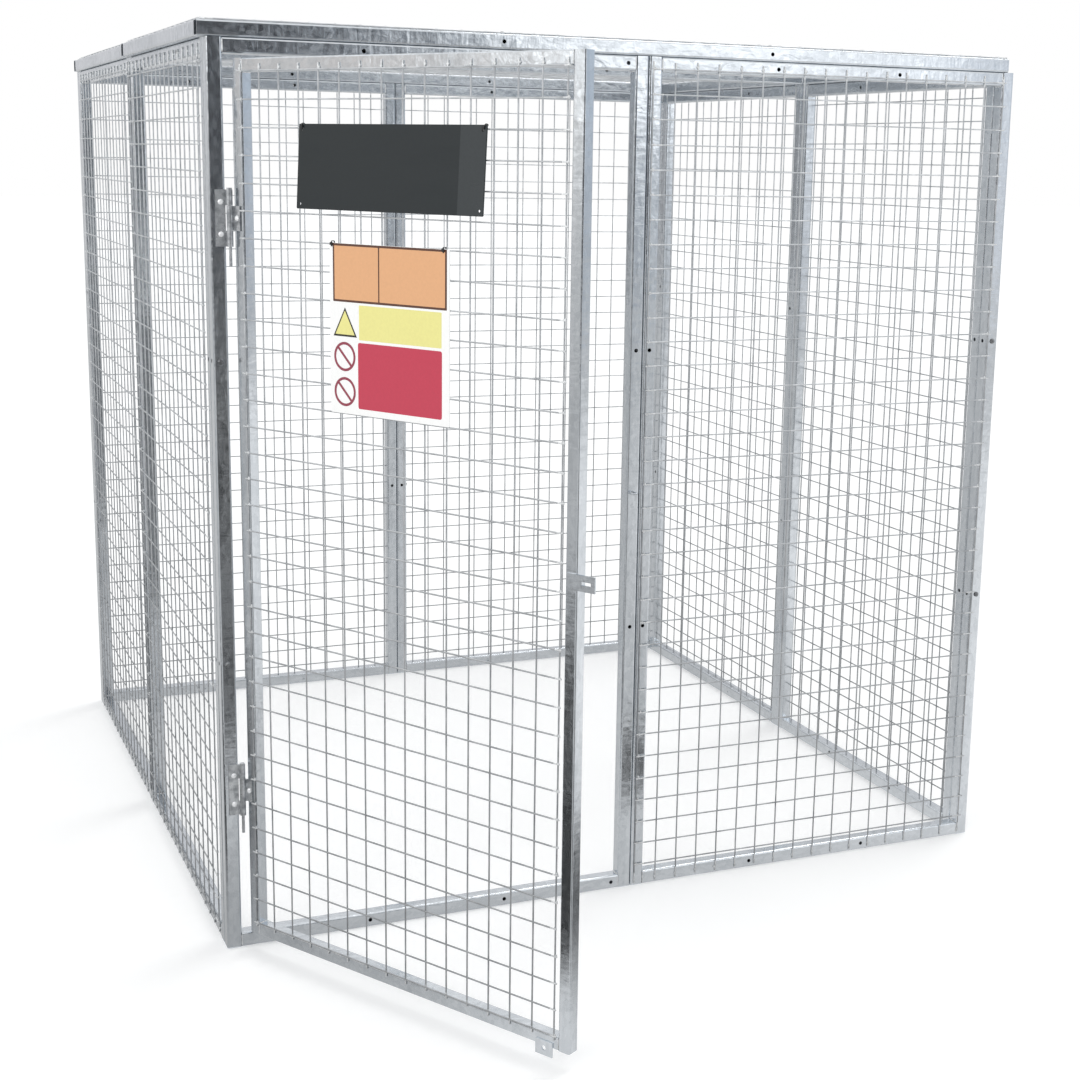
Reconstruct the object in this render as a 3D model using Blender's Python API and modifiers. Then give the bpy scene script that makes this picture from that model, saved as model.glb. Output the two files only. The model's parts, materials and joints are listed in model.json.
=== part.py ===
"""Collapsible gas cylinder cage: bolted box-section panels with weld mesh, a two-piece roof and a hinged door.

Metres, +Z up. The cage is laid out with its outer front-left corner at X = 0, Y = 0 and its front facing -Y,
with the door shut. The door then turns on its hinge line to the rest pose, and the whole part is moved so that
the middle of its footprint is the origin.
"""

import math

import bmesh
import bpy
from mathutils import Matrix, Vector

# Cage
CAGE_WIDTH = 1.800
CAGE_DEPTH = 1.800
WALL_HEIGHT = 1.800
TUBE = 0.030
TUBE_WALL = 0.002
PANEL_GAP = 0.0008
FIT_GAP = 0.0003
CUT_OVERRUN = 0.010

# Weld mesh: every sixth wire of the real 2 inch mesh, on the outer face of each panel
MESH_PITCH = 0.0508
MESH_KEEP_EVERY = 6
MESH_THICKNESS = 0.0055
MESH_BAR = 0.005
MESH_OVERHANG = 0.003
MESH_FIRST_UPRIGHT = 0.0125
MESH_FIRST_CROSS = 0.049
MESH_END_INSET = 0.006

# Roof: two sections, each set a little to the left of the walls
ROOF_FRONT_OFFSET = -0.0155
ROOF_REAR_OFFSET = -0.0070

# Door
DOOR_TUBE = 0.025
DOOR_HINGE_GAP = 0.012
DOOR_FREE_GAP = 0.0105
DOOR_TOP_GAP = 0.008
DOOR_BOTTOM_GAP = 0.004
DOOR_MESH_FIRST_UPRIGHT = 0.0734
DOOR_MESH_FIRST_CROSS = 0.0275
DOOR_MESH_SIDE_INSET = 0.0165
DOOR_MESH_END_INSET = 0.011
DOOR_REST_ANGLE = math.radians(59.8)

# Hinges
HINGE_LOWER_RISE = 0.306
HINGE_UPPER_DROP = 0.292
HINGE_LENGTH = 0.106
HINGE_MOVING_LENGTH = 0.046
HINGE_AXIS_PROUD = 0.008
HINGE_AXIS_OFFSET = 0.006
KNUCKLE_RADIUS = 0.006
KNUCKLE_GAP = 0.0006
KNUCKLE_WEB_SHARE = 0.5
PIN_RADIUS = 0.003
PIN_CLEARANCE = 0.0004
PIN_TAIL = 0.037
PIN_HEAD_RADIUS = 0.005
PIN_HEAD_HEIGHT = 0.003
LEAF_THICKNESS = 0.0025
FIXED_LEAF_REACH = 0.026
MOVING_LEAF_REACH = 0.021
HINGE_BOLT_SPACING = 0.060
FIXED_BOLT_REACH = 0.016
MOVING_BOLT_REACH = 0.014
HINGE_SIDES = 16

# Bolts
BOLT_INSET = 0.014
BOLT_SHANK_RADIUS = 0.0035
BOLT_HEAD_RADIUS = 0.006
BOLT_HEAD_HEIGHT = 0.0045
BOLT_CLEARANCE = 0.0007
BOLT_BITE = 0.008
HINGE_BOLT_SHANK_RADIUS = 0.0025
HINGE_BOLT_HEAD_RADIUS = 0.0055
HINGE_BOLT_HEAD_HEIGHT = 0.0035
HINGE_BOLT_BITE = 0.006
BOLT_SIDES = 8
BOLT_THIRD_SHARES = (1 / 3, 2 / 3)
DOME_SHARES = ((0.0, 1.0), (0.55, 0.9), (1.0, 0.35), (1.0, 0.0))

# Lock
HASP_LENGTH = 0.060
HASP_HEIGHT = 0.028
HASP_THICKNESS = 0.003
HASP_MID_HEIGHT = 0.8965
HASP_LAP = 0.0205
HASP_SLOT_LENGTH = 0.021
HASP_SLOT_HEIGHT = 0.006
HASP_SLOT_INSET = 0.0065
STAPLE_ROD = 0.004
STAPLE_REACH = 0.020
STAPLE_CLEARANCE = 0.002
STAPLE_SEGMENTS = 2

# Door stop tab
TAB_LENGTH = 0.038
TAB_FROM_FREE_EDGE = 0.036
TAB_BOTTOM_GAP = 0.0165
TAB_HEIGHT = 0.028
TAB_THICKNESS = 0.003
TAB_HOLE_RADIUS = 0.0045

# Boards on the door: measured from the door's hinge edge and down from its top
BOARD_THICKNESS = 0.002
NAME_PLATE_SIDE = 0.182
NAME_PLATE_LENGTH = 0.440
NAME_PLATE_DROP = 0.118
NAME_PLATE_HEIGHT = 0.150
NAME_PLATE_LEAN = 0.010
HAZARD_BOARD_SIDE = 0.254
HAZARD_BOARD_LENGTH = 0.286
HAZARD_BOARD_DROP = 0.326
HAZARD_BOARD_HEIGHT = 0.306
PLATE_HOLE_INSET = 0.009
PLATE_HOLE_RADIUS = 0.0025
TIE_WIDTH = 0.0026
TIE_THICKNESS = 0.0012
TIE_HEAD_SIDE = 0.0048
TIE_HEAD_DEPTH = 0.0030

# Worked out from the sizes above
MID_X = CAGE_WIDTH / 2
MID_Y = CAGE_DEPTH / 2
HALF_GAP = PANEL_GAP / 2
ROOF_BOTTOM = WALL_HEIGHT + FIT_GAP
ROOF_TOP = ROOF_BOTTOM + TUBE
HINGE_X = TUBE + HINGE_AXIS_OFFSET
HINGE_Y = -HINGE_AXIS_PROUD
DOOR_LEFT = TUBE + DOOR_HINGE_GAP
DOOR_RIGHT = MID_X - HALF_GAP - TUBE - DOOR_FREE_GAP
DOOR_BOTTOM = TUBE + DOOR_BOTTOM_GAP
DOOR_TOP = WALL_HEIGHT - TUBE - DOOR_TOP_GAP
HASP_LEFT = DOOR_RIGHT - HASP_LAP
HASP_RIGHT = HASP_LEFT + HASP_LENGTH
LEVELS = ("low", "high")
BOLT_HEIGHTS = [share * WALL_HEIGHT for share in BOLT_THIRD_SHARES]
HINGE_HEIGHTS = {"lower": DOOR_BOTTOM + HINGE_LOWER_RISE, "upper": DOOR_TOP - HINGE_UPPER_DROP}

# Colour, metallic value and roughness of each finish
FINISHES = {
    "galvanised_tube": ((0.62, 0.65, 0.67), 0.9, 0.42),
    "galvanised_mesh": ((0.55, 0.58, 0.60), 0.9, 0.48),
    "zinc_fastener": ((0.72, 0.74, 0.75), 0.9, 0.35),
    "hinge_steel": ((0.50, 0.52, 0.54), 0.9, 0.40),
    "black_board": ((0.05, 0.06, 0.065), 0.0, 0.45),
    "white_board": ((0.90, 0.90, 0.88), 0.0, 0.50),
    "black_nylon": ((0.02, 0.02, 0.022), 0.0, 0.40),
}


def clear_scene():
    """Removes every object, so that the script can be run again."""
    for old in list(bpy.data.objects):
        bpy.data.objects.remove(old, do_unlink=True)


def collection(name):
    """The collection of that name, made once."""
    found = bpy.data.collections.get(name)
    if not found:
        found = bpy.data.collections.new(name)
        bpy.context.scene.collection.children.link(found)
    return found


def material(name):
    """The material of one finish, made once."""
    found = bpy.data.materials.get(name)
    if found:
        return found
    colour, metallic, roughness = FINISHES[name]
    made = bpy.data.materials.new(name)
    made.use_nodes = True
    shader = made.node_tree.nodes["Principled BSDF"]
    shader.inputs["Base Color"].default_value = (*colour, 1.0)
    shader.inputs["Metallic"].default_value = metallic
    shader.inputs["Roughness"].default_value = roughness
    return made


def add_object(name, data, finish):
    """Links new object data. Without a finish it is a cutter, which the render leaves out."""
    made = bpy.data.objects.new(name, data)
    if finish:
        data.materials.append(material(finish))
        collection("gas_cylinder_cage").objects.link(made)
    else:
        collection("cutters").objects.link(made)
        made.hide_render = True
        made.display_type = "WIRE"
    return made


def mesh_object(name, bm, finish):
    """Turns a bmesh into an object."""
    data = bpy.data.meshes.new(name)
    bm.to_mesh(data)
    bm.free()
    return add_object(name, data, finish)


def box(name, low, high, finish=None):
    """A box between two corners, with its origin in the middle."""
    size = Vector(high) - Vector(low)
    bm = bmesh.new()
    bmesh.ops.create_cube(bm, size=1.0)
    bmesh.ops.scale(bm, vec=size, verts=bm.verts)
    made = mesh_object(name, bm, finish)
    made.location = (Vector(low) + Vector(high)) / 2
    return made


def rods(name, bars, radius, sides):
    """Round bars in one mesh, as a cutter. Each bar is its start, its unit direction and its length."""
    bm = bmesh.new()
    for start, direction, length in bars:
        middle = Vector(start) + Vector(direction) * length / 2
        turn = Vector(direction).to_track_quat("Z", "Y").to_matrix().to_4x4()
        bmesh.ops.create_cone(
            bm,
            cap_ends=True,
            segments=sides,
            radius1=radius / math.cos(math.pi / sides),
            radius2=radius / math.cos(math.pi / sides),
            depth=length,
            matrix=Matrix.Translation(middle) @ turn,
        )
    return mesh_object(name, bm, None)


def turned(name, profile, seat, direction, sides, finish):
    """A turned piece. The profile of (radius, height) runs from the top down and direction is the way down."""
    data = bpy.data.meshes.new(name)
    points = [(radius, 0.0, height) for radius, height in profile]
    data.from_pydata(points, [(i, i + 1) for i in range(len(points) - 1)], [])
    made = add_object(name, data, finish)
    screw = made.modifiers.new("screw", "SCREW")
    screw.axis = "Z"
    screw.steps = sides
    screw.render_steps = sides
    screw.use_merge_vertices = True
    screw.merge_threshold = 0.00005
    made.location = seat
    made.rotation_euler = (-Vector(direction)).to_track_quat("Z", "Y").to_euler()
    return made


def boolean(target, other, operation="DIFFERENCE"):
    """Cuts the other object from the target, or joins it."""
    modifier = target.modifiers.new(f"{operation.lower()}_{other.name}", "BOOLEAN")
    modifier.operation = operation
    modifier.solver = "EXACT"
    modifier.object = other


def parented(items, carrier):
    """Parents the pieces, and the shapes that cut them, where they stand."""
    bpy.context.view_layer.update()
    waiting = list(items)
    while waiting:
        item = waiting.pop()
        if item.parent:
            continue
        item.parent = carrier
        item.matrix_parent_inverse = carrier.matrix_world.inverted()
        waiting += [modifier.object for modifier in item.modifiers if modifier.type == "BOOLEAN"]


def core(name, low, high, normal, width):
    """The space inside a frame whose members are width wide, as a cutter."""
    inner_low = [value + width for value in low]
    inner_high = [value - width for value in high]
    inner_low[normal] = low[normal] - CUT_OVERRUN
    inner_high[normal] = high[normal] + CUT_OVERRUN
    return box(name, inner_low, inner_high)


def box_section_frame(name, low, high, facing, tube, bores):
    """A welded rectangular frame of square box section, hollow inside, with bolt holes into the tubes.

    facing is the axis that the frame's opening faces, and bores the list of bars that rods takes.
    """
    normal = "XYZ".index(facing)
    frame = box(name, low, high, "galvanised_tube")
    boolean(frame, core(f"{name}_opening", low, high, normal, tube))
    bore_low = [value + TUBE_WALL for value in low]
    bore_high = [value - TUBE_WALL for value in high]
    hollow = box(f"{name}_hollow", bore_low, bore_high)
    boolean(hollow, core(f"{name}_hollow_core", low, high, normal, tube - TUBE_WALL))
    boolean(frame, hollow)
    boolean(frame, rods(f"{name}_bores", bores, BOLT_SHANK_RADIUS + BOLT_CLEARANCE, BOLT_SIDES))
    return frame


def wire_places(first, limit):
    """The middles of the kept wires, from first towards limit and never past it, with the last wire kept."""
    sign = 1 if limit > first else -1
    count = int(abs(limit - first) / MESH_PITCH)
    kept = list(range(0, count + 1, MESH_KEEP_EVERY))
    if count - kept[-1] == 1 and len(kept) > 1:
        kept.pop()
    if kept[-1] != count:
        kept.append(count)
    return sorted(first + sign * MESH_PITCH * i for i in kept)


def mesh_sheet(name, outward, face, uprights, crosses, ends):
    """One sheet of weld mesh: a grid with its gaps taken out, thickened away from the panel's face.

    outward is the axis and the sign of the way the sheet faces, face the level it lies on, uprights and crosses
    the middles of its wires, and ends its edges as (low, high) along each of the other two axes.
    """
    axis, sign = outward
    across, along = [letter for letter in "XYZ" if letter != axis]

    def cells(middles, low, high):
        lines = [middle + side * MESH_BAR / 2 for middle in middles for side in (-1, 1)]
        bars = [index % 2 == 0 for index in range(len(lines) - 1)]
        if low < lines[0]:
            lines.insert(0, low)
            bars.insert(0, False)
        if high > lines[-1]:
            lines.append(high)
            bars.append(False)
        return lines, bars

    lines_u, bars_u = cells(uprights, *ends[0])
    lines_v, bars_v = cells(crosses, *ends[1])
    columns, rows = len(bars_u), len(bars_v)
    bm = bmesh.new()
    bmesh.ops.create_grid(bm, x_segments=columns, y_segments=rows, size=1)
    gaps = []
    for square in bm.faces:
        middle = square.calc_center_median()
        if not bars_u[int((middle.x + 1) / 2 * columns)] and not bars_v[int((middle.y + 1) / 2 * rows)]:
            gaps.append(square)
    bmesh.ops.delete(bm, geom=gaps, context="FACES")
    for vertex in bm.verts:
        point = Vector()
        point["XYZ".index(across)] = lines_u[round((vertex.co.x + 1) / 2 * columns)]
        point["XYZ".index(along)] = lines_v[round((vertex.co.y + 1) / 2 * rows)]
        point["XYZ".index(axis)] = face + sign * FIT_GAP
        vertex.co = point
    bmesh.ops.recalc_face_normals(bm, faces=bm.faces[:])
    bm.faces.ensure_lookup_table()
    bm.normal_update()
    if bm.faces[0].normal["XYZ".index(axis)] * sign < 0:
        bmesh.ops.reverse_faces(bm, faces=bm.faces[:])
    sheet = mesh_object(name, bm, "galvanised_mesh")
    thicken = sheet.modifiers.new("thickness", "SOLIDIFY")
    thicken.thickness = MESH_THICKNESS
    thicken.offset = 1.0
    return sheet


def bolt(name, seat, direction, length):
    """A round-headed bolt. The seat is the middle of the head's underside and direction runs down the shank."""
    profile = [(r * BOLT_HEAD_RADIUS, h * BOLT_HEAD_HEIGHT) for r, h in DOME_SHARES]
    profile += [(BOLT_SHANK_RADIUS, 0.0), (BOLT_SHANK_RADIUS, -length), (0.0, -length)]
    return turned(name, profile, seat, direction, BOLT_SIDES, "zinc_fastener")


def through_bore(face, direction):
    """A bore through both walls of a tube, from the point where the bolt enters its face."""
    start = Vector(face) - Vector(direction) * CUT_OVERRUN
    return start, direction, TUBE + 2 * CUT_OVERRUN


def near_bore(face, direction):
    """A bore through the first wall of a tube only."""
    start = Vector(face) - Vector(direction) * CUT_OVERRUN
    return start, direction, CUT_OVERRUN + TUBE / 2


def hinge_bolt_places(height):
    """The (x, z) of the two bolts in the post's leaf, and of the one in the door's leaf, for one hinge."""
    post_x = HINGE_X - FIXED_BOLT_REACH
    post = [(post_x, height + side * HINGE_BOLT_SPACING / 2) for side in (-1, 1)]
    return post, (HINGE_X + MOVING_BOLT_REACH, height)


def wall_panel(name, low, high, outward, joint_side, bores):
    """A fixed wall panel: its frame, and its mesh on the outer face.

    joint_side is -1 or 1, the end of the panel that meets its neighbour, where the mesh begins.
    """
    axis, sign = outward
    frame = box_section_frame(f"{name}_frame", low, high, axis, TUBE, bores)
    across = "XYZ".index("Y" if axis == "X" else "X")
    edges = (low[across], high[across]) if joint_side < 0 else (high[across], low[across])
    first = edges[0] - joint_side * MESH_FIRST_UPRIGHT
    uprights = wire_places(first, edges[1] + joint_side * MESH_FIRST_UPRIGHT)
    crosses = wire_places(MESH_FIRST_CROSS, WALL_HEIGHT - MESH_FIRST_UPRIGHT)
    bar_end = MESH_BAR / 2 + MESH_OVERHANG
    if joint_side < 0:
        ends_across = (uprights[0] - bar_end, uprights[-1])
    else:
        ends_across = (uprights[0], uprights[-1] + bar_end)
    ends = (ends_across, (MESH_END_INSET, WALL_HEIGHT - MESH_END_INSET))
    face = high["XYZ".index(axis)] if sign > 0 else low["XYZ".index(axis)]
    return [frame, mesh_sheet(f"{name}_mesh", outward, face, uprights, crosses, ends)]


def build_front_and_back():
    """The door surround, the fixed front panel and the two back panels, with their bolts."""
    made = []
    spans = {"left": (0.0, MID_X - HALF_GAP), "right": (MID_X + HALF_GAP, CAGE_WIDTH)}
    corner_x = {"left": BOLT_INSET, "right": CAGE_WIDTH - BOLT_INSET}
    roof_x = dict(zip(spans, (share * CAGE_WIDTH for share in BOLT_THIRD_SHARES)))
    walls = (
        ("front", 0.0, TUBE, 1, ROOF_FRONT_OFFSET),
        ("back", CAGE_DEPTH - TUBE, CAGE_DEPTH, -1, ROOF_REAR_OFFSET),
    )
    for wall, near, far, inward, roof_offset in walls:
        outer = near if inward > 0 else far
        middle = (near + far) / 2
        for side, (start, end) in spans.items():
            bores = [through_bore((corner_x[side], outer, z), (0, inward, 0)) for z in BOLT_HEIGHTS]
            if side == "left":
                bores += [through_bore((end, middle, z), (-1, 0, 0)) for z in BOLT_HEIGHTS]
            else:
                bores += [through_bore((start + TUBE, middle, z), (-1, 0, 0)) for z in BOLT_HEIGHTS]
            roof_bolt = (roof_x[side] + roof_offset, outer + inward * BOLT_INSET, WALL_HEIGHT)
            bores.append(near_bore(roof_bolt, (0, 0, -1)))
            low, high = (start, near, 0.0), (end, far, WALL_HEIGHT)
            if (wall, side) == ("front", "left"):
                frame = box_section_frame("door_surround", low, high, "Y", TUBE, bores)
                hinge_bores = []
                for height in HINGE_HEIGHTS.values():
                    post, _ = hinge_bolt_places(height)
                    hinge_bores += [near_bore((x, outer, z), (0, 1, 0)) for x, z in post]
                radius = HINGE_BOLT_SHANK_RADIUS + PIN_CLEARANCE
                boolean(frame, rods("door_surround_hinge_bores", hinge_bores, radius, BOLT_SIDES))
                made.append(frame)
            else:
                joint_side = 1 if side == "left" else -1
                made += wall_panel(f"{wall}_{side}", low, high, ("Y", -inward), joint_side, bores)
            for z, level in zip(BOLT_HEIGHTS, LEVELS):
                seat = (corner_x[side], outer - inward * FIT_GAP, z)
                length = FIT_GAP + TUBE + PANEL_GAP + BOLT_BITE
                made.append(bolt(f"corner_bolt_{wall}_{side}_{level}", seat, (0, inward, 0), length))
        for z, level in zip(BOLT_HEIGHTS, LEVELS):
            seat = (spans["right"][0] + TUBE + FIT_GAP, middle, z)
            length = FIT_GAP + TUBE + PANEL_GAP + BOLT_BITE
            made.append(bolt(f"joint_bolt_{wall}_{level}", seat, (-1, 0, 0), length))
    return made


def build_sides():
    """The four side panels and the bolts that join each pair."""
    made = []
    spans = {"front": (TUBE + PANEL_GAP, MID_Y - HALF_GAP), "rear": (MID_Y + HALF_GAP, CAGE_DEPTH - TUBE - PANEL_GAP)}
    walls = (("left", 0.0, TUBE, -1, BOLT_INSET), ("right", CAGE_WIDTH - TUBE, CAGE_WIDTH, 1, CAGE_WIDTH - BOLT_INSET))
    for wall, near, far, outward, corner_x in walls:
        middle = (near + far) / 2
        for place, (start, end) in spans.items():
            if place == "front":
                bores = [near_bore((corner_x, start, z), (0, 1, 0)) for z in BOLT_HEIGHTS]
                bores += [through_bore((middle, end, z), (0, -1, 0)) for z in BOLT_HEIGHTS]
            else:
                bores = [near_bore((corner_x, end, z), (0, -1, 0)) for z in BOLT_HEIGHTS]
                bores += [through_bore((middle, start + TUBE, z), (0, -1, 0)) for z in BOLT_HEIGHTS]
            low, high = (near, start, 0.0), (far, end, WALL_HEIGHT)
            joint_side = 1 if place == "front" else -1
            made += wall_panel(f"{wall}_{place}", low, high, ("X", outward), joint_side, bores)
        for z, level in zip(BOLT_HEIGHTS, LEVELS):
            seat = (middle, spans["rear"][0] + TUBE + FIT_GAP, z)
            length = FIT_GAP + TUBE + PANEL_GAP + BOLT_BITE
            made.append(bolt(f"joint_bolt_{wall}_{level}", seat, (0, -1, 0), length))
    return made


def build_roof():
    """The two roof sections and the bolts that hold them down on the front and back walls."""
    made = []
    sections = (
        ("roof_front", 0.0, MID_Y - HALF_GAP, 1, ROOF_FRONT_OFFSET),
        ("roof_rear", MID_Y + HALF_GAP, CAGE_DEPTH, -1, ROOF_REAR_OFFSET),
    )
    for name, start, end, inward, offset in sections:
        bolt_y = start + BOLT_INSET if inward > 0 else end - BOLT_INSET
        places = [(share * CAGE_WIDTH + offset, bolt_y) for share in BOLT_THIRD_SHARES]
        bores = [through_bore((x, y, ROOF_TOP), (0, 0, -1)) for x, y in places]
        low, high = (offset, start, ROOF_BOTTOM), (offset + CAGE_WIDTH, end, ROOF_TOP)
        made.append(box_section_frame(f"{name}_frame", low, high, "Z", TUBE, bores))
        uprights = wire_places(low[0] + MESH_FIRST_UPRIGHT, high[0] - MESH_FIRST_UPRIGHT)
        near, far = (end, start) if inward > 0 else (start, end)
        crosses = wire_places(near - inward * MESH_FIRST_UPRIGHT, far + inward * MESH_FIRST_UPRIGHT)
        bar_end = MESH_BAR / 2 + MESH_OVERHANG
        ends = (
            (low[0] + MESH_END_INSET, high[0] - MESH_END_INSET),
            (crosses[0] - bar_end, crosses[-1] + bar_end),
        )
        made.append(mesh_sheet(f"{name}_mesh", ("Z", 1), ROOF_TOP, uprights, crosses, ends))
        for (x, y), side in zip(places, ("left", "right")):
            length = FIT_GAP + TUBE + FIT_GAP + BOLT_BITE
            made.append(bolt(f"{name}_bolt_{side}", (x, y, ROOF_TOP + FIT_GAP), (0, 0, -1), length))
    return made


def hinge_leaf(name, height, side, reach, length, knuckles, bolts):
    """One leaf of a hinge: its plate, the knuckles rolled from it, its pin bore and its bolt holes.

    side is -1 for the leaf on the post and 1 for the one on the door. knuckles holds the low and high end of
    each knuckle, from the hinge's middle.
    """
    front, back = -FIT_GAP - LEAF_THICKNESS, -FIT_GAP
    root = HINGE_X + side * (KNUCKLE_RADIUS + KNUCKLE_GAP)
    plate_x = sorted((root, HINGE_X + side * reach))
    leaf = box(
        name,
        (plate_x[0], front, height - length / 2),
        (plate_x[1], back, height + length / 2),
        "hinge_steel",
    )
    for index, (start, end) in enumerate(knuckles):
        barrel = rods(
            f"{name}_knuckle_{index}",
            [((HINGE_X, HINGE_Y, height + start), (0, 0, 1), end - start)],
            KNUCKLE_RADIUS * math.cos(math.pi / HINGE_SIDES),
            HINGE_SIDES,
        )
        web_x = sorted((HINGE_X + side * KNUCKLE_GAP, root + side * LEAF_THICKNESS / 2))
        web = box(
            f"{name}_web_{index}",
            (web_x[0], HINGE_Y + KNUCKLE_RADIUS * KNUCKLE_WEB_SHARE, height + start + KNUCKLE_GAP / 2),
            (web_x[1], back - LEAF_THICKNESS / 4, height + end - KNUCKLE_GAP / 2),
        )
        boolean(leaf, web, "UNION")
        boolean(leaf, barrel, "UNION")
    pin_bore = ((HINGE_X, HINGE_Y, height - HINGE_LENGTH), (0, 0, 1), 2 * HINGE_LENGTH)
    boolean(leaf, rods(f"{name}_pin_bore", [pin_bore], PIN_RADIUS + PIN_CLEARANCE, HINGE_SIDES))
    holes = [((x, front - CUT_OVERRUN, z), (0, 1, 0), LEAF_THICKNESS + 2 * CUT_OVERRUN) for x, z in bolts]
    boolean(leaf, rods(f"{name}_bolt_holes", holes, HINGE_BOLT_SHANK_RADIUS + PIN_CLEARANCE, BOLT_SIDES))
    return leaf


def hinge_bolt(name, place):
    """The round-headed bolt of a hinge leaf, through the leaf and the first wall of the tube behind it."""
    profile = [(r * HINGE_BOLT_HEAD_RADIUS, h * HINGE_BOLT_HEAD_HEIGHT) for r, h in DOME_SHARES]
    length = LEAF_THICKNESS + 2 * FIT_GAP + HINGE_BOLT_BITE
    profile += [(HINGE_BOLT_SHANK_RADIUS, 0.0), (HINGE_BOLT_SHANK_RADIUS, -length), (0.0, -length)]
    seat = (place[0], -LEAF_THICKNESS - 2 * FIT_GAP, place[1])
    return turned(name, profile, seat, (0, 1, 0), BOLT_SIDES, "zinc_fastener")


def build_hinges():
    """Both hinges, shut. Returns the pieces that stay on the post and those that turn with the door."""
    still, moving = [], []
    half, middle = HINGE_LENGTH / 2, HINGE_MOVING_LENGTH / 2
    for place, height in HINGE_HEIGHTS.items():
        name = f"hinge_{place}"
        post, door = hinge_bolt_places(height)
        outer = [(-half, -middle - KNUCKLE_GAP), (middle + KNUCKLE_GAP, half)]
        still.append(hinge_leaf(f"{name}_fixed_leaf", height, -1, FIXED_LEAF_REACH, HINGE_LENGTH, outer, post))
        inner = [(-middle, middle)]
        moving.append(
            hinge_leaf(f"{name}_moving_leaf", height, 1, MOVING_LEAF_REACH, HINGE_MOVING_LENGTH, inner, [door])
        )
        shank = HINGE_LENGTH + FIT_GAP + PIN_TAIL
        profile = [
            (0.0, PIN_HEAD_HEIGHT),
            (PIN_HEAD_RADIUS, PIN_HEAD_HEIGHT),
            (PIN_HEAD_RADIUS, 0.0),
            (PIN_RADIUS, 0.0),
            (PIN_RADIUS, -shank),
            (0.0, -shank),
        ]
        seat = (HINGE_X, HINGE_Y, height + half + FIT_GAP)
        still.append(turned(f"{name}_pin", profile, seat, (0, 0, -1), HINGE_SIDES, "hinge_steel"))
        still += [hinge_bolt(f"{name}_post_bolt_{level}", at) for at, level in zip(post, LEVELS)]
        moving.append(hinge_bolt(f"{name}_door_bolt", door))
    return still, moving


def build_staple():
    """The lock staple on the surround's free-side post: a bent rod that the hasp's slot passes over."""
    slot_middle = HASP_RIGHT - HASP_SLOT_INSET - HASP_SLOT_LENGTH / 2
    half = HASP_SLOT_LENGTH / 2 - STAPLE_CLEARANCE - STAPLE_ROD / 2
    tip = -FIT_GAP - STAPLE_REACH + STAPLE_ROD / 2
    outline = [
        (-half, -FIT_GAP),
        (-half, tip + STAPLE_ROD),
        (-half + STAPLE_ROD / 2, tip),
        (half - STAPLE_ROD / 2, tip),
        (half, tip + STAPLE_ROD),
        (half, -FIT_GAP),
    ]
    curve = bpy.data.curves.new("lock_staple", "CURVE")
    curve.dimensions = "3D"
    curve.bevel_depth = STAPLE_ROD / 2
    curve.bevel_resolution = STAPLE_SEGMENTS
    curve.use_fill_caps = True
    spline = curve.splines.new("POLY")
    spline.points.add(len(outline) - 1)
    for point, (x, y) in zip(spline.points, outline):
        point.co = (x, y, 0.0, 1.0)
    made = add_object("lock_staple", curve, "zinc_fastener")
    made.location = (slot_middle, 0.0, HASP_MID_HEIGHT)
    return made


def build_lock_plates():
    """The hasp and the stop tab on the door, shut."""
    bottom = HASP_MID_HEIGHT - HASP_HEIGHT / 2
    front, back = -FIT_GAP - HASP_THICKNESS, -FIT_GAP
    hasp = box("door_hasp", (HASP_LEFT, front, bottom), (HASP_RIGHT, back, bottom + HASP_HEIGHT), "galvanised_tube")
    slot_right = HASP_RIGHT - HASP_SLOT_INSET
    slot = box(
        "door_hasp_slot",
        (slot_right - HASP_SLOT_LENGTH, front - CUT_OVERRUN, HASP_MID_HEIGHT - HASP_SLOT_HEIGHT / 2),
        (slot_right, back + CUT_OVERRUN, HASP_MID_HEIGHT + HASP_SLOT_HEIGHT / 2),
    )
    boolean(hasp, slot)

    right = DOOR_RIGHT - TAB_FROM_FREE_EDGE
    bottom = DOOR_BOTTOM - TAB_BOTTOM_GAP
    front = -FIT_GAP - TAB_THICKNESS
    low, high = (right - TAB_LENGTH, front, bottom), (right, back, bottom + TAB_HEIGHT)
    tab = box("door_stop_tab", low, high, "galvanised_tube")
    hole = ((right - TAB_LENGTH / 2, front - CUT_OVERRUN, bottom + TAB_HEIGHT / 2), (0, 1, 0))
    bar = (*hole, TAB_THICKNESS + 2 * CUT_OVERRUN)
    boolean(tab, rods("door_stop_tab_hole", [bar], TAB_HOLE_RADIUS, BOLT_SIDES))
    return [hasp, tab]


def cable_tie(name, x, hole_height, front, back, top):
    """A cable tie through a plate's hole, over its upper edge and behind a wire, with its head on the plate's front.

    front, back and top are the levels of the plate's faces and of its upper edge.
    """
    side = Vector((TIE_WIDTH / 2, 0.0, 0.0))
    wall = Vector((0.0, TIE_THICKNESS, TIE_THICKNESS))
    overrun = Vector((CUT_OVERRUN, 0.0, 0.0))
    low = Vector((x, front - FIT_GAP, hole_height + TIE_THICKNESS / 2))
    high = Vector((x, back + FIT_GAP + MESH_THICKNESS / 2, top + FIT_GAP))
    tie = box(name, low - side - wall, high + side + wall, "black_nylon")
    boolean(tie, box(f"{name}_loop", low - overrun, high + overrun))
    half = Vector((TIE_HEAD_SIDE, 0.0, TIE_HEAD_SIDE)) / 2
    middle = (hole_height + top) / 2
    head_low = Vector((x, low.y - TIE_HEAD_DEPTH, middle)) - half
    head_high = Vector((x, low.y - TIE_THICKNESS / 4, middle)) + half
    boolean(tie, box(f"{name}_head", head_low, head_high), "UNION")
    return tie


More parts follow.
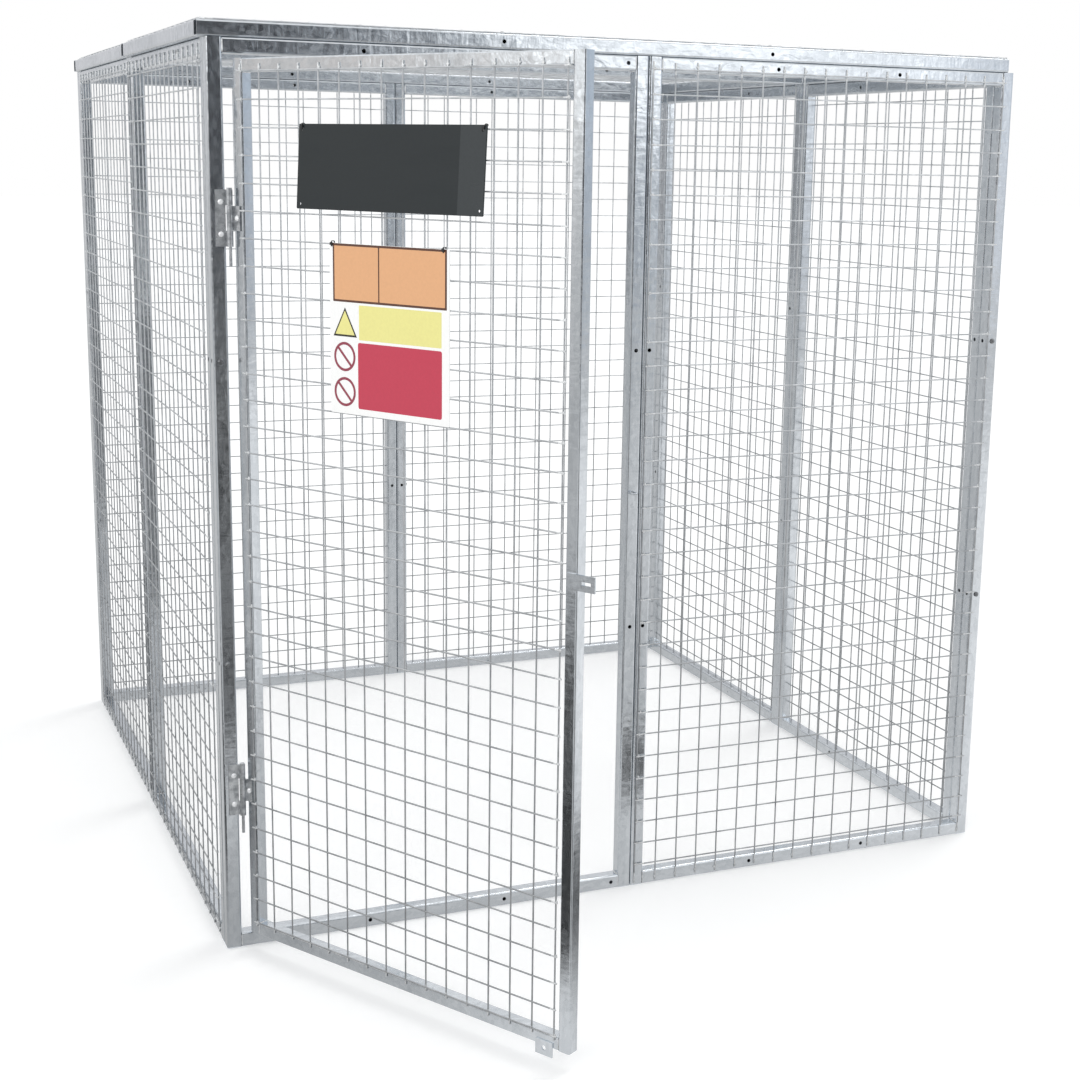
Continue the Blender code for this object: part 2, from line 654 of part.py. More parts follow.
def build_boards():
    """The two blank boards on the door's mesh, shut. The upper one hangs on two cable ties and leans out below."""
    back = -FIT_GAP - MESH_THICKNESS - FIT_GAP
    left, top = DOOR_LEFT + NAME_PLATE_SIDE, DOOR_TOP - NAME_PLATE_DROP
    low = Vector((left, back - BOARD_THICKNESS, top - NAME_PLATE_HEIGHT))
    high = Vector((left + NAME_PLATE_LENGTH, back, top))
    plate = box("name_plate", low, high, "black_board")
    hole_x = (low.x + PLATE_HOLE_INSET, high.x - PLATE_HOLE_INSET)
    hole_z = (low.z + PLATE_HOLE_INSET, high.z - PLATE_HOLE_INSET)
    reach = BOARD_THICKNESS + 2 * CUT_OVERRUN
    holes = [((x, low.y - CUT_OVERRUN, z), (0, 1, 0), reach) for x in hole_x for z in hole_z]
    boolean(plate, rods("name_plate_holes", holes, PLATE_HOLE_RADIUS, BOLT_SIDES))
    hanging = [plate]
    for x, side in zip(hole_x, ("left", "right")):
        hanging.append(cable_tie(f"name_plate_tie_{side}", x, hole_z[1], low.y, back, top))
    lean = bpy.data.objects.new("name_plate_lean", None)
    collection("gas_cylinder_cage").objects.link(lean)
    lean.location = (left, back, top)
    parented(hanging, lean)
    lean.rotation_euler = (-math.atan(NAME_PLATE_LEAN / NAME_PLATE_HEIGHT), 0.0, 0.0)

    left, bottom = DOOR_LEFT + HAZARD_BOARD_SIDE, DOOR_TOP - HAZARD_BOARD_DROP - HAZARD_BOARD_HEIGHT
    low = (left, back - BOARD_THICKNESS, bottom)
    high = (left + HAZARD_BOARD_LENGTH, back, bottom + HAZARD_BOARD_HEIGHT)
    return [lean, box("hazard_board", low, high, "white_board")]


def build_door():
    """The door's frame and its mesh, shut."""
    bores = []
    for height in HINGE_HEIGHTS.values():
        _, (x, z) = hinge_bolt_places(height)
        bores.append(((x, -CUT_OVERRUN, z), (0, 1, 0), CUT_OVERRUN + DOOR_TUBE / 2))
    low, high = (DOOR_LEFT, 0.0, DOOR_BOTTOM), (DOOR_RIGHT, DOOR_TUBE, DOOR_TOP)
    frame = box_section_frame("door_frame", low, high, "Y", DOOR_TUBE, bores)
    uprights = wire_places(DOOR_LEFT + DOOR_MESH_FIRST_UPRIGHT, DOOR_RIGHT - DOOR_TUBE)
    crosses = wire_places(DOOR_BOTTOM + DOOR_MESH_FIRST_CROSS, DOOR_TOP - DOOR_TUBE + MESH_OVERHANG)
    side = DOOR_LEFT + DOOR_MESH_SIDE_INSET
    ends = (
        (side, uprights[-1] + MESH_BAR / 2 + 2 * MESH_OVERHANG),
        (DOOR_BOTTOM + DOOR_MESH_END_INSET, DOOR_TOP - DOOR_MESH_END_INSET),
    )
    return [frame, mesh_sheet("door_mesh", ("Y", -1), 0.0, uprights, crosses, ends)]


def centre_on_footprint(carrier):
    """Moves the carrier so that the middle of the part's footprint is the origin."""
    bpy.context.view_layer.update()
    graph = bpy.context.evaluated_depsgraph_get()
    corners = []
    for item in collection("gas_cylinder_cage").objects:
        if item.type != "EMPTY":
            shape = item.evaluated_get(graph)
            corners += [shape.matrix_world @ Vector(corner) for corner in shape.bound_box]
    for axis in (0, 1):
        values = [corner[axis] for corner in corners]
        carrier.location[axis] -= (min(values) + max(values)) / 2


def main():
    clear_scene()
    cage = bpy.data.objects.new("cage", None)
    door = bpy.data.objects.new("door", None)
    for item in (cage, door):
        collection("gas_cylinder_cage").objects.link(item)
    door.location = (HINGE_X, HINGE_Y, 0.0)
    still, moving = build_hinges()
    parented(moving + build_lock_plates() + build_boards() + build_door(), door)
    parented([*still, door, build_staple(), *build_front_and_back(), *build_sides(), *build_roof()], cage)
    door.rotation_euler = (0.0, 0.0, -DOOR_REST_ANGLE)
    centre_on_footprint(cage)


main()
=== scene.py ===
"""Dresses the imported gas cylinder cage: galvanised panels with their full weld mesh, the door, its boards, the studio.

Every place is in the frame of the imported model. Cage places are measured from the outer left front bottom corner of
the walls: x to the right along the front, y to the back, z up.
"""

import json
import logging
import math
from dataclasses import dataclass
from enum import Enum
from typing import Sequence

import bpy
import numpy as np
from mathutils import Matrix, Vector

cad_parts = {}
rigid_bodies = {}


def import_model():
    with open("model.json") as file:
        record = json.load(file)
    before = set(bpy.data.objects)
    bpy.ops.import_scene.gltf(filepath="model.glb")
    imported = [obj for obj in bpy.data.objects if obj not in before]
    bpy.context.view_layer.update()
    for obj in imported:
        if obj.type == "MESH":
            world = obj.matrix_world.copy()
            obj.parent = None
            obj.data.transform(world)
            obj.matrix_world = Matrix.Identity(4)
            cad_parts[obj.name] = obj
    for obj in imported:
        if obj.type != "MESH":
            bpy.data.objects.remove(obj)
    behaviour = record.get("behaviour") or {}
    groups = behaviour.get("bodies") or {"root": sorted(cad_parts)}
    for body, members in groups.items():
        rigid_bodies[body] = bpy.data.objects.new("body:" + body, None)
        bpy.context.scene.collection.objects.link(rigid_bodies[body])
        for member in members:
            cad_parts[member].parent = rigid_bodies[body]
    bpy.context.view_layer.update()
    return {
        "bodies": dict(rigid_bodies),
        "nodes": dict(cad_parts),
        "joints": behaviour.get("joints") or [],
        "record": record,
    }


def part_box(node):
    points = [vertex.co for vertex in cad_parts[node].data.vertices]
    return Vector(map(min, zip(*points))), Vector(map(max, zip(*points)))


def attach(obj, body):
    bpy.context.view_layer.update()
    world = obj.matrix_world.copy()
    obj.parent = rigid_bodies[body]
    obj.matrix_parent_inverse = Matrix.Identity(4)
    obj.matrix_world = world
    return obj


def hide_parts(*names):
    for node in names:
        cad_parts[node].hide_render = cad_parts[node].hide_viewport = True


LOG = logging.getLogger("cage")
Array = np.ndarray
Surface = tuple[Array, Array]
Socket = bpy.types.NodeSocket
Colour = tuple[float, float, float]
Spot = tuple[float, float, float]
Span = tuple[float, float]
Stop = tuple[float, float, float, float]

PHOTO_SIDE = 1080
SEED = 20
ROOF_SEED = 40
DOOR_SEED = 60
SHARP_ANGLE = math.radians(32)
WIRE_SIDES = 6
WIRE_STATIONS = 11
DRILL_SIDES = 14
TUBE_SLOT = "galvanised_tube"
MESH_SLOT = "galvanised_mesh"
WHITE: Colour = (1.0, 1.0, 1.0)


class Side(Enum):
    """Which way a panel's mesh faces: the axis across the panel, the axis through it, and the outward sign."""

    FRONT = (0, 1, -1)
    BACK = (0, 1, 1)
    LEFT = (1, 0, -1)
    RIGHT = (1, 0, 1)


class Body(Enum):
    """The two bodies that pieces ride on."""

    CAGE = "cage"
    DOOR = "door"


@dataclass(frozen=True)
class CageSizes:
    """Sizes that every sub-assembly shares, in metres.

    A wall's first upright wire is measured from its joint with the next panel, and its first cross wire from the
    ground. The cross wires end wire_end past the outermost upright ones, and those run from wire_end above the ground
    to top_clear below the top.
    """

    width: float = 1.8
    depth: float = 1.8
    wall_height: float = 1.8
    tube: float = 0.030
    tube_wall: float = 0.002
    tube_corner: float = 0.0045
    panel_gap: float = 0.0008
    pitch: float = 0.0508
    wire_radius: float = 0.00155
    wire_wave: float = 0.0006
    wire_end: float = 0.006
    wire_shift: float = 0.00045
    wire_uneven: float = 0.0008
    tack_reach: float = 0.0031
    tack_height: float = 0.0021
    tack_shift: float = 0.0007
    top_clear: float = 0.010
    hole_radius: float = 0.0042
    hole_step: float = 0.3
    last_hole: float = 0.853
    first_upright: float = 0.0125
    first_cross: float = 0.049

    @property
    def middle(self) -> float:
        """Half the width, where two panels of a wall meet."""
        return self.width / 2

    @property
    def thirds(self) -> Span:
        """The heights of the holes in the uprights."""
        return self.wall_height / 3, self.wall_height * 2 / 3


SIZES = CageSizes()


# ---- Surfaces worked out as arrays ----


def mesh_from_loops(name: str, points: Array, loops: Array, totals: Array, smooth: bool = True) -> bpy.types.Object:
    """Puts faces of any size into a new mesh object at the origin.

    Args:
        name: the piece's name.
        points: vertex places, one row each.
        loops: the vertex numbers of all faces in one row.
        totals: how many of them each face has.
        smooth: whether faces shade smoothly.

    Returns:
        The new object, linked to the scene.
    """
    mesh = bpy.data.meshes.new(name)
    mesh.vertices.add(len(points))
    mesh.vertices.foreach_set("co", np.asarray(points, dtype=np.float32).ravel())
    mesh.loops.add(len(loops))
    mesh.loops.foreach_set("vertex_index", loops.astype(np.int32))
    mesh.polygons.add(len(totals))
    mesh.polygons.foreach_set("loop_start", np.concatenate(([0], np.cumsum(totals)[:-1])).astype(np.int32))
    mesh.polygons.foreach_set("loop_total", totals.astype(np.int32))
    mesh.polygons.foreach_set("use_smooth", np.full(len(totals), smooth))
    mesh.update(calc_edges=True)
    mesh.validate()
    piece = bpy.data.objects.new(name, mesh)
    bpy.context.scene.collection.objects.link(piece)
    return piece


def make_mesh(name: str, points: Array, quads: Array, smooth: bool = True) -> bpy.types.Object:
    """A mesh of faces with four vertex numbers to a row, where a repeated last number stands for a triangle.

    Args:
        name: the piece's name.
        points: vertex places, one row each.
        quads: the faces.
        smooth: whether faces shade smoothly.

    Returns:
        The new object, linked to the scene.
    """
    triangle = quads[:, 3] == quads[:, 2]
    keep = np.ones(quads.shape, dtype=bool)
    keep[triangle, 3] = False
    return mesh_from_loops(name, points, quads[keep], np.where(triangle, 3, 4), smooth)


def read(items: bpy.types.bpy_prop_collection, key: str, kind: type, width: int = 1) -> Array:
    """One attribute of a mesh's items in one row, width numbers for each item."""
    values = np.empty(len(items) * width, dtype=kind)
    items.foreach_get(key, values)
    return values


def unit(rows: Array) -> Array:
    """Each row divided by its length."""
    return rows / np.linalg.norm(rows, axis=-1, keepdims=True)


def stacked(*parts: object) -> Array:
    """Rows of points from their x, y and z, as numbers or as arrays of matching shapes."""
    return np.stack(np.broadcast_arrays(*parts), axis=-1)


def round_section(sides: int, u: Array, v: Array) -> Array:
    """For each row k, the points cos a u_k + sin a v_k at even angles a."""
    a = np.arange(sides) * 2 * math.pi / sides
    return np.cos(a)[None, :, None] * u[:, None] + np.sin(a)[None, :, None] * v[:, None]


def grid_faces(rows: int, columns: int, flip: bool = False) -> Array:
    """Faces of a stack of rings: face (i, j) joins points (i, j), (i, j+1), (i+1, j+1) and (i+1, j).

    Args:
        rows: how many rings.
        columns: how many points in a ring; its last is joined to its first.
        flip: whether the faces look the other way.

    Returns:
        Vertex numbers, four to a row.
    """
    i, j = np.meshgrid(np.arange(rows - 1), np.arange(columns), indexing="ij")
    near, after = i * columns, (j + 1) % columns
    far = near + columns
    faces = np.stack((near + j, near + after, far + after, far + j), axis=-1).reshape(-1, 4)
    return faces[:, ::-1] if flip else faces


def closed_loop(rows: int, columns: int, flip: bool = False) -> Array:
    """Faces of a stack of rings whose last ring is joined to its first."""
    return grid_faces(rows + 1, columns, flip) % (rows * columns)


def closed_barrel(rows: int, columns: int, flip: bool = False) -> Array:
    """Faces of a stack of rings with a fan at both ends to the two points that follow the rings' points.

    Args:
        rows: how many rings.
        columns: how many points in a ring.
        flip: whether the faces look the other way.

    Returns:
        Vertex numbers, four to a row, the last one repeated in a triangle.
    """
    j = np.arange(columns)
    after = (j + 1) % columns
    faces = [grid_faces(rows, columns, flip)]
    for start, tip, turned in ((0, rows * columns, not flip), ((rows - 1) * columns, rows * columns + 1, flip)):
        one, two = (after, j) if turned else (j, after)
        tips = np.full(columns, tip)
        faces.append(np.stack((start + one, start + two, tips, tips), axis=-1))
    return np.concatenate(faces)


def repeated(points: Array, faces: Array) -> Surface:
    """One surface of many alike, from a block of points for each and the faces of one."""
    count, per = points.shape[:2]
    shifts = (np.arange(count) * per)[:, None, None]
    return points.reshape(-1, 3), (faces[None] + shifts).reshape(-1, 4)


def joined(parts: Sequence[Surface]) -> Surface:
    """Puts several surfaces into one, shifting each one's vertex numbers past the ones before it."""
    shifts = np.cumsum([0] + [len(points) for points, _ in parts[:-1]])
    faces = [faces + shift for (_, faces), shift in zip(parts, shifts)]
    return np.concatenate([points for points, _ in parts]), np.concatenate(faces)


def rounded_outline(size: Sequence[float], corner: float, steps: int = 4) -> Surface:
    """A rectangle whose corners are quarter circles of steps chords: its points, and the outward direction at each.

    Args:
        size: the rectangle's two sides.
        corner: the corner radius.
        steps: chords in a corner.

    Returns:
        The points in order round the outline, and the directions.
    """
    turn = np.linspace(0.0, math.pi / 2, steps + 1)
    angles = (np.arange(4)[:, None] * math.pi / 2 + turn).ravel()
    outward = np.stack((np.cos(angles), np.sin(angles)), axis=-1)
    centres = np.array([[1, 1], [-1, 1], [-1, -1], [1, -1]]) * (np.asarray(size) / 2 - corner)
    return np.repeat(centres, steps + 1, axis=0) + corner * outward, outward


def tube_surface(start: Array, end: Array, side: Array, width: float, corner: float, wall: float) -> Surface:
    """A hollow square tube with rounded corners and open ends.

    P(t, s) = start + t (end - start) + outline(s) across the tube, for the outer and the inner outline; flat rings
    join the two outlines at the ends.

    Args:
        start: middle of one end.
        end: middle of the other end.
        side: a unit direction across the tube.
        width: side of the square.
        corner: outer corner radius.
        wall: thickness of the wall.

    Returns:
        Points and faces.
    """
    other = np.cross(unit(end - start), side)
    inner = width - 2 * wall
    rings = []
    for square, radius in ((width, corner), (inner, max(corner - wall, corner * 0.3))):
        outline, _ = rounded_outline((square, square), radius)
        across = outline[:, :1] * side + outline[:, 1:] * other
        rings += [start + across, end + across]
    count = len(rings[0])
    j = np.arange(count)
    after = (j + 1) % count
    near = np.stack((j, 2 * count + j, 2 * count + after, after), axis=-1)
    far = np.stack((count + j, count + after, 3 * count + after, 3 * count + j), axis=-1)
    inside = grid_faces(2, count, True) + 2 * count
    return np.concatenate(rings), np.concatenate((grid_faces(2, count), inside, near, far))


def rods_surface(
    starts: Array, ends: Array, radius: float, bow: Array, sides: int, stations: int, tip: float = 0.0
) -> Surface:
    """Many round rods at once, each slightly bowed and closed by a small cone at both ends.

    P(k, t, a) = start_k + t (end_k - start_k) + radius (cos a u_k + sin a v_k) + bow_k(t), with u_k and v_k across rod
    k and bow_k(t) = b_k sin(pi t f_k) in each of the two directions.

    Args:
        starts: first ends, one row for each rod.
        ends: second ends.
        radius: the rods' radius.
        bow: for each rod two bow heights and a number of half waves.
        sides: sides of a rod.
        stations: rings along a rod.
        tip: length of the first and the last stretch, or nought for even stretches.

    Returns:
        Points and faces.
    """
    lengths = np.linalg.norm(ends - starts, axis=1, keepdims=True)
    along = (ends - starts) / lengths
    guide = np.where(np.abs(along[:, 2:]) > 0.9, np.array([[1.0, 0.0, 0.0]]), np.array([[0.0, 0.0, 1.0]]))
    u = unit(np.cross(guide, along))
    v = np.cross(along, u)
    share = tip / float(lengths.mean())
    t = np.linspace(0.0, 1.0, stations)
    if tip:
        t = np.concatenate(([0.0], np.linspace(share, 1.0 - share, stations - 2), [1.0]))
    middle = starts[:, None] + t[None, :, None] * (ends - starts)[:, None]
    wave = np.sin(math.pi * t[None, :] * bow[:, 2:3])
    middle += wave[..., None] * (bow[:, :1, None] * u[:, None] + bow[:, 1:2, None] * v[:, None])
    body = middle[:, :, None] + radius * round_section(sides, u, v)[:, None]
    cone = along * radius * 0.35
    tips = np.stack((middle[:, 0] - cone, middle[:, -1] + cone), axis=1)
    points = np.concatenate((body.reshape(len(starts), -1, 3), tips), axis=1)
    return repeated(points, closed_barrel(stations, sides))


def pins_surface(middles: Array, reach: Array, radius: float) -> Surface:
    """Straight rods that cut holes, from reach before their middles to reach behind them."""
    straight = np.tile([0.0, 0.0, 1.0], (len(middles), 1))
    return rods_surface(middles - reach, middles + reach, radius, straight, DRILL_SIDES, 2)


def blobs_surface(middles: Array, radii: Array, sides: int = 6, bands: int = 4) -> Surface:
    """Many small ellipsoids at once.

    P(k, i, j) = middle_k + radii_k * (sin p_i cos q_j, sin p_i sin q_j, cos p_i), closed by a pole at both ends.

    Args:
        middles: centres, one row each.
        radii: the three half axes, one row each.
        sides: points round a band.
        bands: bands from pole to pole.

    Returns:
        Points and faces.
    """
    p = np.linspace(0.0, math.pi, bands + 1)[1:-1]
    q = np.arange(sides) * 2 * math.pi / sides
    pp, qq = np.meshgrid(p, q, indexing="ij")
    ball = stacked(np.sin(pp) * np.cos(qq), np.sin(pp) * np.sin(qq), np.cos(pp)).reshape(-1, 3)
    ball = np.concatenate((ball, [[0.0, 0.0, 1.0], [0.0, 0.0, -1.0]]))
    return repeated(middles[:, None] + ball[None] * radii[:, None], closed_barrel(bands - 1, sides, True))


def path_surface(path: Array, radii: Array, sides: int = 8) -> Surface:
    """A round section carried along a path, with a radius of its own at each station and a closed tip at both ends.

    P(i, j) = path_i + r_i (cos a_j u_i + sin a_j v_i), where u_i and v_i are square to the path at station i.

    Args:
        path: the stations' middles.
        radii: the radius at each station.
        sides: points round the section.

    Returns:
        Points and faces.
    """
    tangent = unit(np.gradient(path, axis=0))
    guide = np.array([0.0, 0.0, 1.0] if abs(tangent[:, 2]).max() < 0.9 else [0.37, 0.91, 0.17])
    u = unit(np.cross(guide, tangent))
    ring = round_section(sides, u, np.cross(tangent, u))
    body = (path[:, None] + ring * radii[:, None, None]).reshape(-1, 3)
    return np.concatenate((body, path[:1], path[-1:])), closed_barrel(len(path), sides)


def slab_surface(low: Array, high: Array, corner: float, rim: float, steps: int = 4) -> Surface:
    """A flat board standing in the x-z plane, with rounded corners and a small rounded rim on both faces.

    The outline is a rounded rectangle; the board's profile runs in from one face, over the rim, to the other face.

    Args:
        low: lowest corner.
        high: highest corner.
        corner: corner radius of the outline.
        rim: radius of the rim.
        steps: chords in a corner.

    Returns:
        Points and faces.
    """
    size, middle = high - low, (low + high) / 2
    outline, outward = rounded_outline(size[[0, 2]], corner, steps)
    half, soft = size[1] / 2, rim * 0.3
    rise = np.array([[-rim, half], [-soft, half - soft], [0.0, half - rim]])
    profile = np.concatenate((rise * (1.0, -1.0), rise[::-1]))
    rings = outline[None] + profile[:, :1, None] * outward[None]
    body = stacked(rings[..., 0] + middle[0], profile[:, 1:] + middle[1], rings[..., 1] + middle[2])
    caps = [[middle[0], low[1], middle[2]], [middle[0], high[1], middle[2]]]
    return np.concatenate((body.reshape(-1, 3), caps)), closed_barrel(len(profile), len(outline), True)


# ---- Finishes ----


class NodeBook:
    """The node tree of a material or a world, with short ways to add and join nodes."""

    def __init__(self, owner: bpy.types.Material | bpy.types.World) -> None:
        """Starts with an empty tree."""
        self.owner = owner
        owner.use_nodes = True
        self.tree = owner.node_tree
        self.tree.nodes.clear()

    def feed(self, socket: Socket, value: object) -> None:
        """Joins an input to a socket, or gives it a constant; a colour's has three numbers."""
        if isinstance(value, Socket):
            self.tree.links.new(value, socket)
        else:
            socket.default_value = (*value, 1.0) if socket.type == "RGBA" else value

    def add(self, kind: str, *feeds: object, **settings: object) -> bpy.types.Node:
        """Adds a node.

        Args:
            kind: the node's type.
            feeds: sockets or constants for its inputs in order.
            settings: its inputs by name with spaces as underscores, or else its properties.

        Returns:
            The node.
        """
        node = self.tree.nodes.new(kind)
        for key, value in settings.items():
            label = key.replace("_", " ").title()
            if label in node.inputs:
                self.feed(node.inputs[label], value)
            else:
                setattr(node, key, value)
        for socket, value in zip(node.inputs, feeds):
            self.feed(socket, value)
        return node

    def close(self, shader: bpy.types.Node) -> None:
        """Puts a shader on the tree's output."""
        kind = "World" if isinstance(self.owner, bpy.types.World) else "Material"
        self.add(f"ShaderNodeOutput{kind}", shader.outputs[0])

    def place(self, scale: Spot = (1.0, 1.0, 1.0)) -> Socket:
        """Object coordinates through a Mapping node."""
        where = self.add("ShaderNodeTexCoord").outputs["Object"]
        return self.add("ShaderNodeMapping", vector=where, scale=scale).outputs["Vector"]

    def math(self, operation: str, first: object, second: object) -> Socket:
        """Two numbers worked into one."""
        return self.add("ShaderNodeMath", first, second, operation=operation).outputs[0]

    def vector(self, operation: str, *feeds: object) -> Socket:
        """Vectors worked into one."""
        return self.add("ShaderNodeVectorMath", *feeds, operation=operation).outputs[0]

    def noise(self, vector: Socket, scale: float, detail: float, rough: float = 0.5, twist: float = 0.0) -> Socket:
        """A noise pattern's value."""
        node = self.add(
            "ShaderNodeTexNoise", vector=vector, scale=scale, detail=detail, roughness=rough, distortion=twist
        )
        return node.outputs["Fac"]

    def ramp(self, value: Socket, stops: Sequence[tuple[float, Colour]]) -> Socket:
        """A colour ramp over the stops."""
        node = self.add("ShaderNodeValToRGB", value)
        points = node.color_ramp.elements
        while len(points) < len(stops):
            points.new(0.5)
        for point, (spot, colour) in zip(points, stops):
            point.position = spot
            point.color = (*colour, 1.0)
        return node.outputs["Color"]

    def spread(self, value: Socket, start: Span, end: Span, curve: str = "LINEAR") -> Socket:
        """A value carried from the range start to the range end, held at its ends.

        Args:
            value: the value.
            start: the range that it comes from.
            end: the range that it goes to.
            curve: how it goes from one end to the other.

        Returns:
            The new value.
        """
        node = self.add(
            "ShaderNodeMapRange", value=value, from_min=start[0], from_max=start[1], to_min=end[0], to_max=end[1],
            interpolation_type=curve,
        )
        return node.outputs["Result"]

    def blend(self, factor: object, first: object, second: object, mode: str = "MIX") -> Socket:
        """Two colours mixed by a factor; each is a socket or three numbers.

        Args:
            factor: the second colour's share.
            first: the first colour.
            second: the second colour.
            mode: how the second goes over the first.

        Returns:
            The mixed colour.
        """
        node = self.add("ShaderNodeMix", data_type="RGBA", blend_type=mode)
        for value, index in ((factor, 0), (first, 6), (second, 7)):
            self.feed(node.inputs[index], value)
        return node.outputs[2]

    def shaded_towards_ground(self, colour: Socket, where: Socket, low: float) -> Socket:
        """A colour with painted shade towards the ground: times low there, and times one from a height of 1.5 m up."""
        height = self.add("ShaderNodeSeparateXYZ", where).outputs["Z"]
        grey = self.ramp(self.spread(height, (0.0, 1.5), (0.0, 1.0)), ((0.0, (low,) * 3), (1.0, WHITE)))
        return self.blend(1.0, colour, grey, "MULTIPLY")

    def bump(self, height: Socket, strength: float, distance: float, after: Socket | None = None) -> Socket:
        """A bump from a height, on top of an earlier one if there is one.

        Args:
            height: the height.
            strength: how strong the bump is.
            distance: how high it is, in metres.
            after: the earlier bump.

        Returns:
            The bumped normal.
        """
        earlier = {} if after is None else {"normal": after}
        node = self.add("ShaderNodeBump", strength=strength, distance=distance, height=height, **earlier)
        return node.outputs["Normal"]

    def seen_rays(self) -> Socket:
        """One for camera, glossy and transmission rays, and nought for the rest."""
        rays = self.add("ShaderNodeLightPath").outputs
        seen = self.math("MAXIMUM", rays["Is Camera Ray"], rays["Is Glossy Ray"])
        return self.math("MAXIMUM", seen, rays["Is Transmission Ray"])


def halfway(first: Colour, second: Colour) -> Colour:
    """The colour between two colours."""
    return tuple((a + b) / 2 for a, b in zip(first, second))


@dataclass(frozen=True)
class Finish:
    """A procedural material. Each kind of finish works out the Principled shader's inputs in its own way."""

    name: str

    def inputs(self, book: NodeBook) -> dict[str, object]:
        """The shader's inputs by name, as sockets or constants.

        Args:
            book: the material's empty node tree, which gets the nodes.

        Returns:
            The inputs.
        """
        raise NotImplementedError

    def material(self) -> bpy.types.Material:
        """Builds the node tree.

        Returns:
            The material.
        """
        book = NodeBook(bpy.data.materials.new(self.name))
        book.close(book.add("ShaderNodeBsdfPrincipled", **self.inputs(book)))
        return book.owner


@dataclass(frozen=True)
class GalvanisedSteel(Finish):
    """Hot-dip zinc: crystal flakes that each tip and shade a little differently, cloudy runs along the tube."""

    along: int = 2
    flake: float = 0.008
    dark: Colour = (0.62, 0.655, 0.69)
    light: Colour = (0.76, 0.795, 0.83)
    tip: float = 0.014
    rough: Span = (0.13, 0.21)

    def stretched(self, book: NodeBook, even: float, along: float) -> Socket:
        """Object coordinates at one scale across the tube and another along it."""
        scale = [even] * 3
        scale[self.along] = along
        return book.place(tuple(scale))

    def inputs(self, book: NodeBook) -> dict[str, object]:
        """Flakes stretched a little along the tube, under clouds, runs and drips."""
        where = self.stretched(book, 1.0, 0.6)
        shift = book.add("ShaderNodeTexNoise", vector=where, scale=70.0, detail=3.0).outputs["Color"]
        bent = book.vector("MULTIPLY_ADD", shift, (self.flake * 1.2,) * 3, where)
        cells = book.add(
            "ShaderNodeTexVoronoi", vector=bent, feature="SMOOTH_F1", scale=1.0 / self.flake, smoothness=0.25
        ).outputs["Color"]
        red, green, _ = book.add("ShaderNodeSeparateColor", cells).outputs
        runs = book.noise(self.stretched(book, 26.0, 1.6), 1.0, 4.0, 0.6)
        cloud = book.noise(where, 7.0, 5.0, 0.6, 0.4)
        swirl = book.noise(where, 42.0, 2.0, 0.45, 0.8)
        drips = book.noise(self.stretched(book, 16.0, 62.0), 1.0, 2.0, 0.5, 0.5)
        middle = halfway(self.dark, self.light)
        flakes = book.ramp(red, ((0.15, self.dark), (0.5, middle), (0.85, self.light)))
        clouds = book.ramp(cloud, ((0.34, self.dark), (0.52, middle), (0.70, self.light)))
        streaks = book.ramp(runs, ((0.34, (0.92, 0.925, 0.93)), (0.50, WHITE), (0.68, (1.04, 1.04, 1.04))))
        tilt = book.vector("SUBTRACT", cells, (0.5, 0.5, 0.5))
        plain = book.add("ShaderNodeNewGeometry").outputs["Normal"]
        tipped = book.vector("NORMALIZE", book.vector("MULTIPLY_ADD", tilt, (self.tip,) * 3, plain))
        clouded = book.bump(cloud, 0.20, 0.005, tipped)
        dripped = book.bump(drips, 0.22, 0.0016, clouded)
        return {
            "base_color": book.blend(1.0, book.blend(0.6, flakes, clouds), streaks, "MULTIPLY"),
            "metallic": 0.96,
            "roughness": book.math(
                "ADD", book.spread(green, (0.0, 1.0), self.rough), book.spread(cloud, (0.3, 0.7), (0.04, -0.03))
            ),
            "normal": book.bump(swirl, 0.28, 0.0018, dripped),
        }


@dataclass(frozen=True)
class DippedWire(Finish):
    """Zinc-coated wire: small lumps, grey patches, and painted shade that darkens it towards the ground."""

    dark: Colour = (0.47, 0.49, 0.51)
    light: Colour = (0.79, 0.81, 0.83)
    # Painted shade: the share of the colour kept at the ground.
    ground_shade: float = 0.55

    def inputs(self, book: NodeBook) -> dict[str, object]:
        """Patches of three greys over fine lumps."""
        where = book.place()
        patches = book.noise(where, 26.0, 4.0, 0.6)
        middle = halfway(self.dark, self.light)
        colour = book.ramp(patches, ((0.32, self.dark), (0.5, middle), (0.70, self.light)))
        return {
            "base_color": book.shaded_towards_ground(colour, where, self.ground_shade),
            "metallic": 0.6,
            "roughness": book.spread(patches, (0.3, 0.7), (0.52, 0.36)),
            "normal": book.bump(book.noise(where, 420.0, 2.0, 0.5), 0.25, 0.0004),
        }


@dataclass(frozen=True)
class WeldZinc(Finish):
    """Zinc over a weld: whiter, matt and lumpy, with painted shade that darkens it towards the ground."""

    dark: Colour = (0.66, 0.68, 0.69)
    light: Colour = (0.92, 0.93, 0.94)
    # Painted shade: the share of the colour kept at the ground.
    ground_shade: float = 0.75

    def inputs(self, book: NodeBook) -> dict[str, object]:
        """One mottle for the colour, the roughness and the lumps."""
        where = book.place()
        mottle = book.noise(where, 240.0, 3.0, 0.6)
        colour = book.ramp(mottle, ((0.35, self.dark), (0.60, self.light)))
        return {
            "base_color": book.shaded_towards_ground(colour, where, self.ground_shade),
            "metallic": 0.25,
            "roughness": book.spread(mottle, (0.3, 0.7), (0.42, 0.58)),
            "normal": book.bump(mottle, 0.5, 0.0008),
        }


